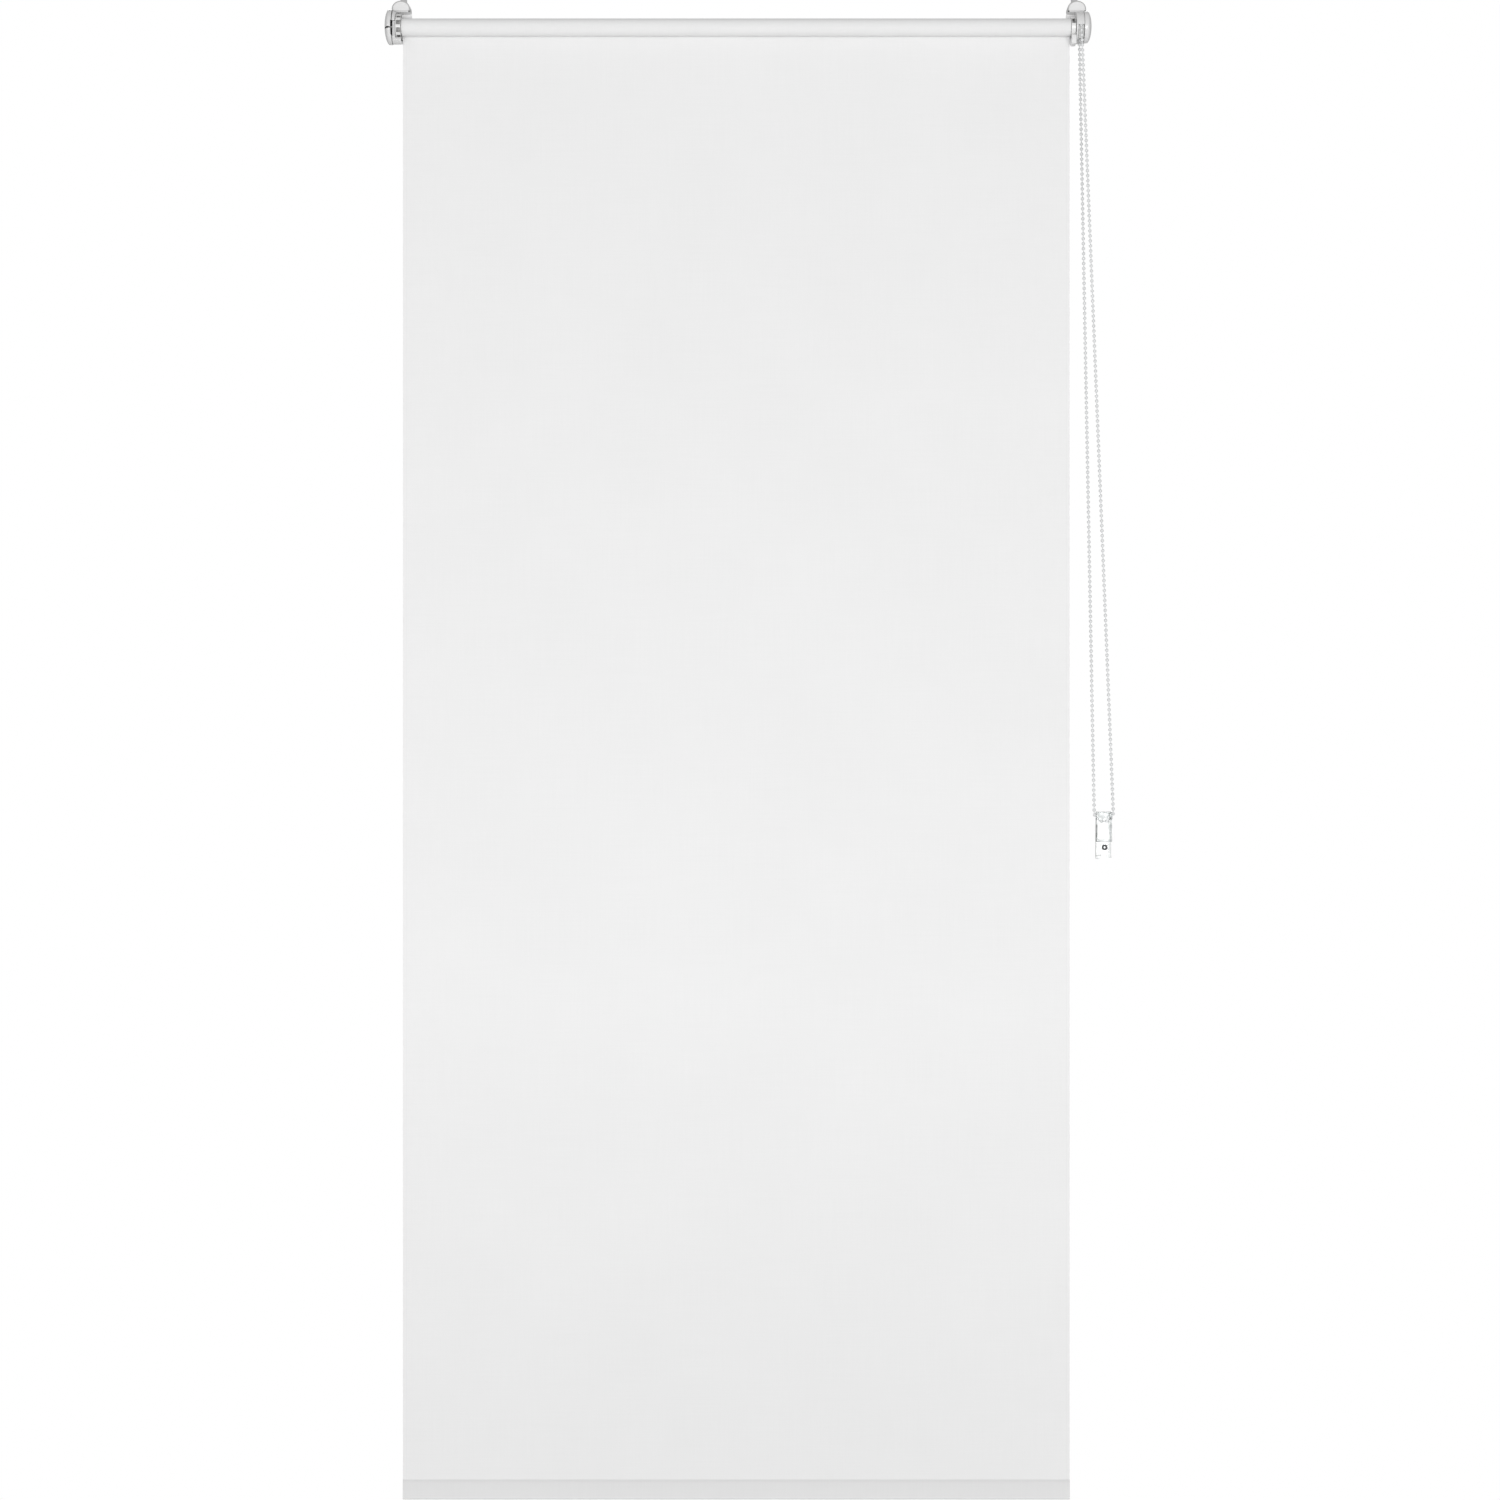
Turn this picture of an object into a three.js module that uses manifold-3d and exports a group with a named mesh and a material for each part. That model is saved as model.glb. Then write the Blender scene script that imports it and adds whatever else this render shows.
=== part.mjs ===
// Clamp-on roller blind: two sash clamps, a spring-loaded idle end, a chain drive with a wrap-spring
// clutch, a cloth on an aluminium tube with a weighted hem, an endless bead chain and its tensioner.
// Millimetres. +X runs to the chain side, +Y into the window, +Z up. The origin is at mid width, on the
// front face of the sash, level with the roller's axis.
import * as THREE from "three";
import { mergeVertices } from "three/addons/utils/BufferGeometryUtils.js";
import Module from "manifold-3d";

const wasm = await Module();
wasm.setup();

// ---- Driving dimensions -------------------------------------------------------------------------

const GAP = 0.3; // between pieces that touch
const AXIS_Y = -22; // roller axis, in front of the sash face

const CLOTH_WIDTH = 661;
const CLOTH_THICKNESS = 0.4;
const CLOTH_DROP = 1438; // roller axis to the top of the hem, blind fully down
const HEM_HEIGHT = 19.4;
const HEM_THICKNESS = 4.4;
const BAR_LENGTH = 655;
const BAR_HEIGHT = 15.5;
const BAR_THICKNESS = 2.6;

const TUBE_RADIUS = 8;
const TUBE_WALL = 0.8;
const ROLL_RADIUS = 8.7; // over the turns of cloth that stay on the tube

const SASH_THICKNESS = 18; // what the clamps are set to
const CLAMP_LEFT_X = -332.1;
const CLAMP_RIGHT_X = 337.3;
const NOSE = { halfWidth: 7.6, height: 8.2, base: 17.8, round: 1.6, front: -18, back: -2 };
const ARM = { halfWidth: 5.6, shoulder: 21.4, top: 25, back: 38 }; // from the nose back over the sash
const ARM_UNDERSIDE = NOSE.base - NOSE.round;
const CHANNEL = { halfWidth: 3.8, bottom: 17.9, top: 22.4, front: -7 }; // hollow of the arm
const NECK_SLOT = { halfWidth: 1.9, front: 6, top: 18.4 }; // the jaw's neck slides in it
const SCREW_SLOT = { halfWidth: 1.9, ahead: 10.5, behind: 9.5 }; // about the locking screw
const DIMPLE = { x: 8.2, z: 16.9, radius: 0.8, front: -19, back: -14.5 };
const PLATE = { halfWidth: 9.7, front: -4, back: -1, bottom: -12.4 };
const FRONT_PAD = { halfWidth: 9, bottom: -12, top: 15 };
const JAW = { halfWidth: 8.5, bottom: -6.5, neck: 1.6 };
const SLIDER = { halfWidth: 3.4, front: 3, bottom: 18.2, top: 21.8 }; // runs inside the arm
const JAW_PAD = { halfWidth: 7.5, bottom: -5.5, top: 13 };
const JAW_THICKNESS = 3;
const JAW_PAD_THICKNESS = 1.5;
const LOCK_Y = 10; // locking screw, over the middle of the sash
const KNOB_RADIUS = 3.3;
const KNOB_HEIGHT = 12.3;
const LOCK_SHANK_RADIUS = 1.5;
const KNOB_BASE = ARM.top + GAP;

// Idle end, from the outside inwards.
const IDLE_COVER = { apex: -347.3, shoulder: -343, inner: -339.7, radius: 17.3, wall: 1.6 };
const ENTRY_Z = -3.3; // middle of the cover's slit and notch and of the plate's mouth, below the axis
const IDLE_PLATE = { outer: -339.3, inner: -336.4, radius: 15.6 };
const IDLE_BOSS = { inner: -336.2, radius: 7.5 };
const ADJUSTER = { outer: -335.9, inner: -330.9, radius: 12.5, bore: 5.9, windows: 10, phase: 12 };
const IDLE_PLUG_END = -292;
const PIN = { tip: -344, shoulder: -334.2, end: -311, radius: 2.3, halfBlade: 0.9 };
const PIN_HOLE = { ahead: 2.6, behind: 2.8, halfHeight: 1.3 }; // about the axis, for the pin's blade
const SKIRT = { inner: -330.9, hollow: 13.4, from: -140, to: -58 }; // below the adjuster ring
const MOUTH = { halfHeight: 7.2, floor: 8.6 }; // recess in the plate's front, to this far from the axis

// Chain end, from the outside inwards.
const DRIVE_COVER = { apex: 351, shoulder: 346.9, inner: 343.4, radius: 15.6, wall: 1.6 };
const DRIVE_PLATE = { outer: 345.3, inner: 343.8, radius: 13.6 };
const WHEEL = { x: 340.2, halfWidth: 2.8, radius: 12.6, floor: 8.95, pockets: 14 };
const GUARD = { outer: 343.1, inner: 335.6, flange: 1.4, radius: 14.6, wall: 1.3, from: 0, to: 190 };
const COLLAR = { outer: 335, inner: 330.8, radius: 9.8, bore: 4.9, windows: 3, phase: 35 };
const CORE = { outer: 343.5, inner: 300, radius: 3.6 };
const COUPLER_END = 296;
const SHELF = { inner: 330.9, outer: 335.3, front: -33, knee: -18.4, bottom: -18.2, top: -9.4 }; // collar's
const SHELF_HEEL = -12; // where its sloping underside meets the bracket's web

// Flange of each bracket that lies on a clamp's front plate, and the cheek that stiffens it.
const WEB = { front: -7, bottom: -12.4, top: 12, inner: 331.1 };
const CHEEK = { front: -14, halfHeight: 9 };

const CHAIN_RADIUS = 1.75;
const CHAIN_WHEEL_RADIUS = 11; // wheel centre to the middle of a bead
const LOOP_END = { x: 365.05, y: -6, z: -776, radius: 9.5 }; // centre of the bottom turn

const TENSIONER = { left: 357.5, right: 373, top: -776, bottom: -822.8, depth: 9.5, plate: 2.5 };
const TENSIONER_STEP = -805.8; // lower edge of the cover
const TENSIONER_SCREW = { x: 366.3, z: -811.4, head: 2.85, shank: 1.6 };

// ---- Materials ----------------------------------------------------------------------------------

const finish = (color, roughness, metalness = 0) =>
  new THREE.MeshStandardMaterial({ color, roughness, metalness });
const whitePlastic = () => finish("#e9e9e7", 0.45);
const greyRubber = () => finish("#8f9190", 0.9);
const clothFinish = () => finish("#eeeeec", 0.95);
const steel = () => finish("#b9bcbf", 0.35, 1);
const clearPlastic = () => finish("#e6eeee", 0.15);

// ---- Solids -------------------------------------------------------------------------------------

// A closed geometry as a manifold solid, ready to be joined or cut.
function solid(geometry) {
  const bare = geometry.index ? geometry.toNonIndexed() : geometry.clone();
  bare.deleteAttribute("normal");
  bare.deleteAttribute("uv");
  const merged = mergeVertices(bare, 1e-4);
  const index = merged.index.array;
  const kept = [];
  for (let i = 0; i < index.length; i += 3) {
    const [a, b, c] = index.slice(i, i + 3);
    if (a !== b && b !== c && c !== a) kept.push(a, b, c);
  }
  return new wasm.Manifold(
    new wasm.Mesh({
      numProp: 3,
      vertProperties: merged.attributes.position.array,
      triVerts: new Uint32Array(kept),
    }),
  );
}

const join = (...pieces) => pieces.reduce((a, b) => a.add(b));
const cut = (body, ...tools) => tools.reduce((a, b) => a.subtract(b), body);

function block([x0, x1], [y0, y1], [z0, z1]) {
  const geometry = new THREE.BoxGeometry(x1 - x0, y1 - y0, z1 - z0);
  geometry.translate((x0 + x1) / 2, (y0 + y1) / 2, (z0 + z1) / 2);
  return solid(geometry);
}

// A shape drawn in (y, z), carried from x0 to x1.
function alongX(shape, [x0, x1], curveSegments = 12) {
  const geometry = new THREE.ExtrudeGeometry(shape, {
    depth: x1 - x0,
    bevelEnabled: false,
    curveSegments,
  });
  const axes = new THREE.Matrix4().makeBasis(
    new THREE.Vector3(0, 1, 0),
    new THREE.Vector3(0, 0, 1),
    new THREE.Vector3(1, 0, 0),
  );
  geometry.applyMatrix4(axes);
  geometry.translate(x0, 0, 0);
  return solid(geometry);
}

// A shape drawn in (x, z), carried from y0 (front) to y1 (back), with both end edges rounded by `round`.
function alongY(shape, [y0, y1], round = 0, curveSegments = 12) {
  const geometry = new THREE.ExtrudeGeometry(shape, {
    depth: y1 - y0 - 2 * round,
    bevelEnabled: round > 0,
    bevelThickness: round,
    bevelSize: round,
    bevelSegments: 2,
    curveSegments,
  });
  const axes = new THREE.Matrix4().makeBasis(
    new THREE.Vector3(1, 0, 0),
    new THREE.Vector3(0, 0, 1),
    new THREE.Vector3(0, -1, 0),
  );
  geometry.applyMatrix4(axes);
  geometry.translate(0, y1 - round, 0);
  return solid(geometry);
}

// A profile of [distance along, radius] pairs, turned about an axis: the roller's unless told otherwise.
function turned(profile, sides = 32) {
  const points = profile.map(([along, radius]) => new THREE.Vector2(radius, along));
  return new THREE.LatheGeometry(points, sides);
}
const turnedAboutRoller = (profile, sides) =>
  solid(turned(profile, sides).rotateZ(-Math.PI / 2).translate(0, AXIS_Y, 0));
const turnedUpright = (profile, x, y, sides) =>
  solid(turned(profile, sides).rotateX(Math.PI / 2).translate(x, y, 0));
const turnedForward = (profile, x, z, sides) => solid(turned(profile, sides).translate(x, 0, z));

// A washer or drum about the roller's axis.
const drum = ([x0, x1], inner, outer, sides) =>
  turnedAboutRoller([[x0, inner], [x1, inner], [x1, outer], [x0, outer], [x0, inner]].reverse(), sides);
const disc = ([x0, x1], radius, sides) =>
  turnedAboutRoller([[x0, 0], [x0, radius], [x1, radius], [x1, 0]], sides);

// Part of a drum, between two angles measured from straight ahead (-Y) upwards.
function drumSector(x, inner, outer, fromDegrees, toDegrees, steps = 16) {
  const [from, to] = [fromDegrees, toDegrees].map(THREE.MathUtils.degToRad);
  const shape = new THREE.Shape();
  shape.absarc(AXIS_Y, 0, outer, Math.PI - to, Math.PI - from);
  shape.absarc(AXIS_Y, 0, inner, Math.PI - from, Math.PI - to, true);
  return alongX(shape, x, steps);
}

// Evenly spaced rectangular windows, as cutting tools, round the rim of a ring on the roller's axis.
function windows(count, phaseDegrees, x, [inner, outer], height) {
  const tools = [];
  for (let i = 0; i < count; i++) {
    const angle = THREE.MathUtils.degToRad(phaseDegrees + (360 / count) * i);
    const geometry = new THREE.BoxGeometry(x[1] - x[0], outer - inner, height);
    geometry.translate((x[0] + x[1]) / 2, -(inner + outer) / 2, 0);
    geometry.rotateX(-angle);
    geometry.translate(0, AXIS_Y, 0);
    tools.push(solid(geometry));
  }
  return tools;
}

// Half-ellipse standing on its flat side.
function arch(halfWidth, height, base, points = 14) {
  const shape = new THREE.Shape();
  for (let i = 0; i <= points; i++) {
    const angle = (Math.PI * i) / points;
    const x = halfWidth * Math.cos(angle);
    const z = base + height * Math.sin(angle);
    if (i === 0) shape.moveTo(x, z);
    else shape.lineTo(x, z);
  }
  shape.closePath();
  return shape;
}

function ring(radius, sides) {
  const shape = new THREE.Shape();
  for (let i = 0; i < sides; i++) {
    const angle = (2 * Math.PI * i) / sides;
    if (i === 0) shape.moveTo(radius, 0);
    else shape.lineTo(radius * Math.cos(angle), radius * Math.sin(angle));
  }
  shape.closePath();
  return shape;
}

// A round wire or tube that follows a curve.
const wire = (curve, radius, sides, steps) =>
  solid(
    new THREE.ExtrudeGeometry(ring(radius, sides), {
      steps,
      extrudePath: curve,
      bevelEnabled: false,
    }),
  );

class Helix extends THREE.Curve {
  constructor(x0, x1, radius, turns) {
    super();
    Object.assign(this, { x0, x1, radius, turns });
  }
  getPoint(t, target = new THREE.Vector3()) {
    const angle = 2 * Math.PI * this.turns * t;
    const y = AXIS_Y + this.radius * Math.cos(angle);
    return target.set(this.x0 + (this.x1 - this.x0) * t, y, this.radius * Math.sin(angle));
  }
}

class HalfTurn extends THREE.Curve {
  // Half a circle about `centre`, from `start` round to the far side, swinging through `through`.
  constructor(centre, start, through) {
    super();
    Object.assign(this, { centre, start, through });
  }
  getPoint(t, target = new THREE.Vector3()) {
    const angle = Math.PI * t;
    return target
      .copy(this.centre)
      .addScaledVector(this.start, Math.cos(angle))
      .addScaledVector(this.through, Math.sin(angle));
  }
}

const blind = new THREE.Group();

function addMesh(name, body, material, parent = blind) {
  const made = body.getMesh();
  const geometry = new THREE.BufferGeometry();
  geometry.setAttribute("position", new THREE.BufferAttribute(made.vertProperties, 3));
  geometry.setIndex(new THREE.BufferAttribute(made.triVerts, 1));
  geometry.computeVertexNormals();
  const mesh = new THREE.Mesh(geometry, material);
  mesh.name = name;
  parent.add(mesh);
  return mesh;
}

// ---- Sash clamps: the same five pieces on both sides, drawn about their own middle plane ---------

function clampHook() {
  const nose = alongY(arch(NOSE.halfWidth, NOSE.height, NOSE.base), [NOSE.front, NOSE.back], NOSE.round);
  const armDepth = [NOSE.back - NOSE.round - 1, ARM.back];
  const across = [-ARM.halfWidth, ARM.halfWidth];
  const roof = alongY(arch(ARM.halfWidth, ARM.top - ARM.shoulder, ARM.shoulder), armDepth);
  const arm = join(block(across, armDepth, [ARM_UNDERSIDE, ARM.shoulder + 0.1]), roof);
  const plate = block(
    [-PLATE.halfWidth, PLATE.halfWidth],
    [PLATE.front, PLATE.back],
    [PLATE.bottom, ARM_UNDERSIDE + 1],
  );
  const channel = block(
    [-CHANNEL.halfWidth, CHANNEL.halfWidth],
    [CHANNEL.front, ARM.back + 1],
    [CHANNEL.bottom, CHANNEL.top],
  );
  const neckSlot = block(
    [-NECK_SLOT.halfWidth, NECK_SLOT.halfWidth],
    [NECK_SLOT.front, ARM.back + 1],
    [ARM_UNDERSIDE - 1, NECK_SLOT.top],
  );
  const screwSlot = block(
    [-SCREW_SLOT.halfWidth, SCREW_SLOT.halfWidth],
    [LOCK_Y - SCREW_SLOT.ahead, LOCK_Y + SCREW_SLOT.behind],
    [CHANNEL.top - 1, KNOB_BASE],
  );
  const dimple = (x) => {
    const { radius, front, back, z } = DIMPLE;
    return turnedForward([[front, 0], [front, radius], [back, radius], [back, 0]], x, z, 10);
  };
  const body = join(nose, arm, plate);
  return cut(body, channel, neckSlot, screwSlot, dimple(-DIMPLE.x), dimple(DIMPLE.x));
}

function clampJaw() {
  const legFront = SASH_THICKNESS + JAW_PAD_THICKNESS + GAP;
  const leg = [legFront, legFront + JAW_THICKNESS];
  const top = ARM_UNDERSIDE - GAP;
  const acrossSlider = [-SLIDER.halfWidth, SLIDER.halfWidth];
  const hole = LOCK_SHANK_RADIUS + GAP;
  const [below, above] = [SLIDER.bottom - 1, SLIDER.top + 1];
  return cut(
    join(
      block([-JAW.halfWidth, JAW.halfWidth], leg, [JAW.bottom, top]),
      block([-JAW.neck, JAW.neck], leg, [top - 1, SLIDER.bottom + 1]),
      block(acrossSlider, [SLIDER.front, leg[1] + 0.7], [SLIDER.bottom, SLIDER.top]),
    ),
    turnedUpright([[below, 0], [below, hole], [above, hole], [above, 0]], 0, LOCK_Y, 16),
  );
}

function lockingScrew() {
  const base = KNOB_BASE;
  const top = base + KNOB_HEIGHT;
  const foot = SLIDER.bottom + 0.4;
  const profile = [
    [foot, 0],
    [foot, LOCK_SHANK_RADIUS],
    [base, LOCK_SHANK_RADIUS],
    [base, KNOB_RADIUS],
    [top - 1, KNOB_RADIUS],
    [top, KNOB_RADIUS - 1],
    [top, 0],
  ];
  return turnedUpright(profile, 0, LOCK_Y, 20);
}

function addClamp(side, x) {
  const clamp = new THREE.Group();
  clamp.position.x = x;
  blind.add(clamp);
  const frontPad = block(
    [-FRONT_PAD.halfWidth, FRONT_PAD.halfWidth],
    [PLATE.back + GAP, 0],
    [FRONT_PAD.bottom, FRONT_PAD.top],
  );
  const jawPad = block(
    [-JAW_PAD.halfWidth, JAW_PAD.halfWidth],
    [SASH_THICKNESS, SASH_THICKNESS + JAW_PAD_THICKNESS],
    [JAW_PAD.bottom, JAW_PAD.top],
  );
  addMesh(`${side}_clamp_hook`, clampHook(), whitePlastic(), clamp);
  addMesh(`${side}_front_pad`, frontPad, greyRubber(), clamp);
  addMesh(`${side}_clamp_jaw`, clampJaw(), whitePlastic(), clamp);
  addMesh(`${side}_jaw_pad`, jawPad, greyRubber(), clamp);
  addMesh(`${side}_locking_screw`, lockingScrew(), whitePlastic(), clamp);
}
addClamp("left", CLAMP_LEFT_X);
addClamp("right", CLAMP_RIGHT_X);

// ---- Domed end covers ----------------------------------------------------------------------------

// A shallow dome on a short rim, hollow and open towards the blind. `apex`, `shoulder` and `inner` are
// places along X, so the same profile serves both ends.
function domedCup({ apex, shoulder, inner, radius, wall }) {
  const outward = Math.sign(apex);
  const arc = (top, edge, rim, steps) => {
    const points = [];
    for (let i = 0; i <= steps; i++) {
      const angle = (Math.PI / 2) * (i / steps);
      points.push([edge + (top - edge) * Math.cos(angle), rim * Math.sin(angle)]);
    }
    return points;
  };
  const outside = arc(apex, shoulder, radius, 5);
  const inside = arc(apex - outward * wall, shoulder - outward * wall, radius - wall, 5);
  const profile = [...outside, [inner, radius], [inner, radius - wall], ...inside.reverse()];
  return turnedAboutRoller(outward > 0 ? profile.reverse() : profile, 32);
}

// Room in a cover's rim for the bracket's cheek, as its depth and height.
function aroundCheek() {
  const room = GAP + 0.1;
  return [[CHEEK.front - room, 0], [-CHEEK.halfHeight - room, CHEEK.halfHeight + room]];
}

// Room in a cover's rim for the front end of the clamp's arm, which passes over it.
function armRelief(innerEdge) {
  return block([innerEdge - 3, innerEdge + 3], [NOSE.front - 0.4, 0], [ARM_UNDERSIDE - 0.4, 20]);
}

// ---- Idle end ------------------------------------------------------------------------------------

const WEB_Y = [WEB.front, PLATE.front - GAP];
const WEB_Z = [WEB.bottom, WEB.top];
const CHEEK_Y = [CHEEK.front, WEB_Y[1]];
const CHEEK_Z = [-CHEEK.halfHeight, CHEEK.halfHeight];

function idleBracket() {
  const { outer, inner, radius } = IDLE_PLATE;
  const plate = disc([outer, inner], radius, 32);
  const boss = disc([inner - 0.5, IDLE_BOSS.inner], IDLE_BOSS.radius, 24);
  const skirt = drumSector([outer, SKIRT.inner], SKIRT.hollow, radius + 1.2, SKIRT.from, SKIRT.to, 10);
  const web = block([outer, -WEB.inner], WEB_Y, WEB_Z);
  const cheek = block([outer, inner], CHEEK_Y, CHEEK_Z);
  const front = AXIS_Y - radius - 2.4;
  const mouth = block(
    [outer - 1, inner + 0.01],
    [front, AXIS_Y - MOUTH.floor],
    [ENTRY_Z - MOUTH.halfHeight, ENTRY_Z + MOUTH.halfHeight],
  );
  const pinHole = block(
    [outer - 1, IDLE_BOSS.inner + 1],
    [AXIS_Y - PIN_HOLE.ahead, AXIS_Y + PIN_HOLE.behind],
    [-PIN_HOLE.halfHeight, PIN_HOLE.halfHeight],
  );
  return cut(join(plate, boss, skirt, web, cheek), mouth, pinHole);
}

function idleCover() {
  const { apex, inner, radius } = IDLE_COVER;
  const front = AXIS_Y - radius;
  const slit = block([apex - 1, inner + 1], [front - 1, AXIS_Y - 2], [ENTRY_Z - 0.8, ENTRY_Z + 0.8]);
  const notch = block([inner - 1.4, inner + 1], [front - 1, AXIS_Y - 9], [ENTRY_Z - 7, ENTRY_Z + 7]);
  const rearNotch = block([inner - 0.2, inner + 1], ...aroundCheek());
  const tooth = block([inner - 4, inner - 2], [front - 0.2, AXIS_Y - 14], [ENTRY_Z + 1, ENTRY_Z + 3.2]);
  return join(cut(domedCup(IDLE_COVER), slit, notch, rearNotch, armRelief(inner)), tooth);
}

function adjusterRing() {
  const { outer, inner, radius, bore, windows: count, phase } = ADJUSTER;
  const body = drum([outer, inner], bore, radius, 36);
  const pockets = windows(count, phase, [outer + 0.5, inner - 0.5], [radius - 1.8, radius + 1], 4.8);
  return cut(body, ...pockets);
}

function idlePlug() {
  const tubeBore = TUBE_RADIUS - TUBE_WALL - GAP;
  const profile = [
    [ADJUSTER.outer, PIN.radius + 0.4],
    [ADJUSTER.outer, ADJUSTER.bore - GAP],
    [-330.6, ADJUSTER.bore - GAP],
    [-330.6, tubeBore],
    [IDLE_PLUG_END, tubeBore],
    [IDLE_PLUG_END, 0],
    [IDLE_PLUG_END - 4, 0],
    [IDLE_PLUG_END - 4, PIN.radius + 0.4],
    [ADJUSTER.outer, PIN.radius + 0.4],
  ];
  return turnedAboutRoller(profile, 24);
}

function idlePin() {
  const { tip, shoulder, end, radius, halfBlade } = PIN;
  const blade = [AXIS_Y - radius + 0.1, AXIS_Y + radius - 0.1];
  return join(
    disc([shoulder, end], radius, 16),
    block([tip, shoulder + 2], blade, [-halfBlade, halfBlade]),
  );
}

addMesh("idle_bracket", idleBracket(), whitePlastic());
addMesh("idle_cover", idleCover(), whitePlastic());
addMesh("adjuster_ring", adjusterRing(), whitePlastic());
addMesh("idle_plug", idlePlug(), whitePlastic());
addMesh("idle_pin", idlePin(), whitePlastic());
const pinSpring = new Helix(PIN.end + 0.6, IDLE_PLUG_END - 4.6, 1.9, 8);
addMesh("pin_spring", wire(pinSpring, 0.25, 5, 64), steel());

// ---- Chain end -----------------------------------------------------------------------------------

function driveBracket() {
  const { outer, inner, radius } = DRIVE_PLATE;
  const plate = disc([inner, outer], radius, 32);
  const cheek = block([inner, outer], CHEEK_Y, CHEEK_Z);
  const web = block([WEB.inner, outer], WEB_Y, WEB_Z);
  const side = new THREE.Shape();
  side.moveTo(SHELF.front, SHELF.top);
  side.lineTo(SHELF.front, SHELF.bottom);
  side.lineTo(SHELF.knee, SHELF.bottom);
  side.lineTo(WEB_Y[1], SHELF_HEEL);
  side.lineTo(WEB_Y[1], SHELF.top);
  side.closePath();
  const shelf = alongX(side, [SHELF.inner, SHELF.outer]);
  const collarRoom = disc([SHELF.inner - 1, SHELF.outer + 1], COLLAR.radius + 0.8, 32);
  return join(plate, cheek, web, cut(shelf, collarRoom));
}

function driveCover() {
  const { inner } = DRIVE_COVER;
  const rearNotch = block([inner - 1, DRIVE_PLATE.outer + GAP], ...aroundCheek());
  return cut(domedCup(DRIVE_COVER), rearNotch, armRelief(inner));
}

function chainGuard() {
  const { outer, inner, flange, radius, wall, from, to } = GUARD;
  return join(
    drum([inner, inner + flange], 6.9, radius, 32),
    drumSector([inner + 0.2, outer], radius - wall, radius, from, to, 18),
  );
}

function chainWheel() {
  const { x, halfWidth, radius, floor, pockets } = WHEEL;
  const hub = 6.2;
  const groove = [[2.2, radius], [2.1, 10.6], [1.6, 9.4], [0.8, floor]];
  const inner = groove.map(([half, r]) => [x - half, r]);
  const outer = groove.map(([half, r]) => [x + half, r]).reverse();
  const profile = [
    [COLLAR.outer + GAP, COLLAR.bore],
    [COLLAR.outer + GAP, hub],
    [x - halfWidth, hub],
    [x - halfWidth, radius],
    ...inner,
    ...outer,
    [x + halfWidth, radius],
    [x + halfWidth, COLLAR.bore],
    [COLLAR.outer + GAP, COLLAR.bore],
  ];
  const tools = [];
  for (let i = 0; i < pockets; i++) {
    const angle = (2 * Math.PI * i) / pockets;
    const ball = new THREE.SphereGeometry(2.4, 6, 4);
    const y = AXIS_Y - CHAIN_WHEEL_RADIUS * Math.cos(angle);
    ball.translate(x, y, CHAIN_WHEEL_RADIUS * Math.sin(angle));
    tools.push(solid(ball));
  }
  return cut(turnedAboutRoller(profile, 28), ...tools);
}

function driveCoupler() {
  const { outer, inner, radius, bore, windows: count, phase } = COLLAR;
  const sleeve = TUBE_RADIUS - TUBE_WALL - GAP;
  const profile = [
    [COUPLER_END, bore],
    [COUPLER_END, sleeve],
    [inner, sleeve],
    [inner, radius],
    [outer, radius],
    [outer, bore],
    [COUPLER_END, bore],
  ];
  const pockets = windows(count, phase, [inner + 0.6, outer - 0.4], [radius - 1.8, radius + 1], 7.4);
  return cut(turnedAboutRoller(profile, 30), ...pockets);
}

function clutchCore() {
  const { outer, inner, radius } = CORE;
  const profile = [
    [inner, 1.6],
    [inner, radius],
    [outer, radius],
    [outer, 0],
    [inner + 16, 0],
    [inner + 16, 1.6],
    [inner, 1.6],
  ];
  return turnedAboutRoller(profile, 24);
}

function coreScrew() {
  const head = CORE.inner - GAP;
  const profile = [
    [head - 2.4, 0],
    [head - 2.4, 4.3],
    [head, 4.3],
    [head, 1.3],
    [head + 13, 1.3],
    [head + 13, 0],
  ];
  return turnedAboutRoller(profile, 20);
}

addMesh("drive_bracket", driveBracket(), whitePlastic());
addMesh("drive_cover", driveCover(), whitePlastic());
addMesh("chain_guard", chainGuard(), whitePlastic());
addMesh("chain_wheel", chainWheel(), whitePlastic());
addMesh("drive_coupler", driveCoupler(), whitePlastic());
addMesh("clutch_core", clutchCore(), whitePlastic());
addMesh("core_screw", coreScrew(), steel());
const clutchSpring = new Helix(306, 330, CORE.radius + GAP + 0.3, 9);
addMesh("clutch_spring", wire(clutchSpring, 0.3, 5, 72), steel());

// ---- Roller, cloth and weighted hem --------------------------------------------------------------

const CLOTH_Y = AXIS_Y + ROLL_RADIUS + GAP + CLOTH_THICKNESS / 2; // the cloth leaves the back of the roll
const HALF_CLOTH = CLOTH_WIDTH / 2;
const HEM_TOP = -CLOTH_DROP - GAP;

const tubeEnds = [-HALF_CLOTH + 0.2, HALF_CLOTH - 0.2];
const tubeBody = drum(tubeEnds, TUBE_RADIUS - TUBE_WALL, TUBE_RADIUS, 36);
addMesh("roller_tube", tubeBody, finish("#c9ccce", 0.35, 1));
const rollBody = drum([-HALF_CLOTH, HALF_CLOTH], TUBE_RADIUS + 0.2, ROLL_RADIUS, 36);
addMesh("fabric_roll", rollBody, clothFinish());

const clothSpan = [CLOTH_Y - CLOTH_THICKNESS / 2, CLOTH_Y + CLOTH_THICKNESS / 2];
const sheetBody = block([-HALF_CLOTH, HALF_CLOTH], clothSpan, [-CLOTH_DROP, 0]);
addMesh("hanging_fabric", sheetBody, clothFinish());

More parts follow.
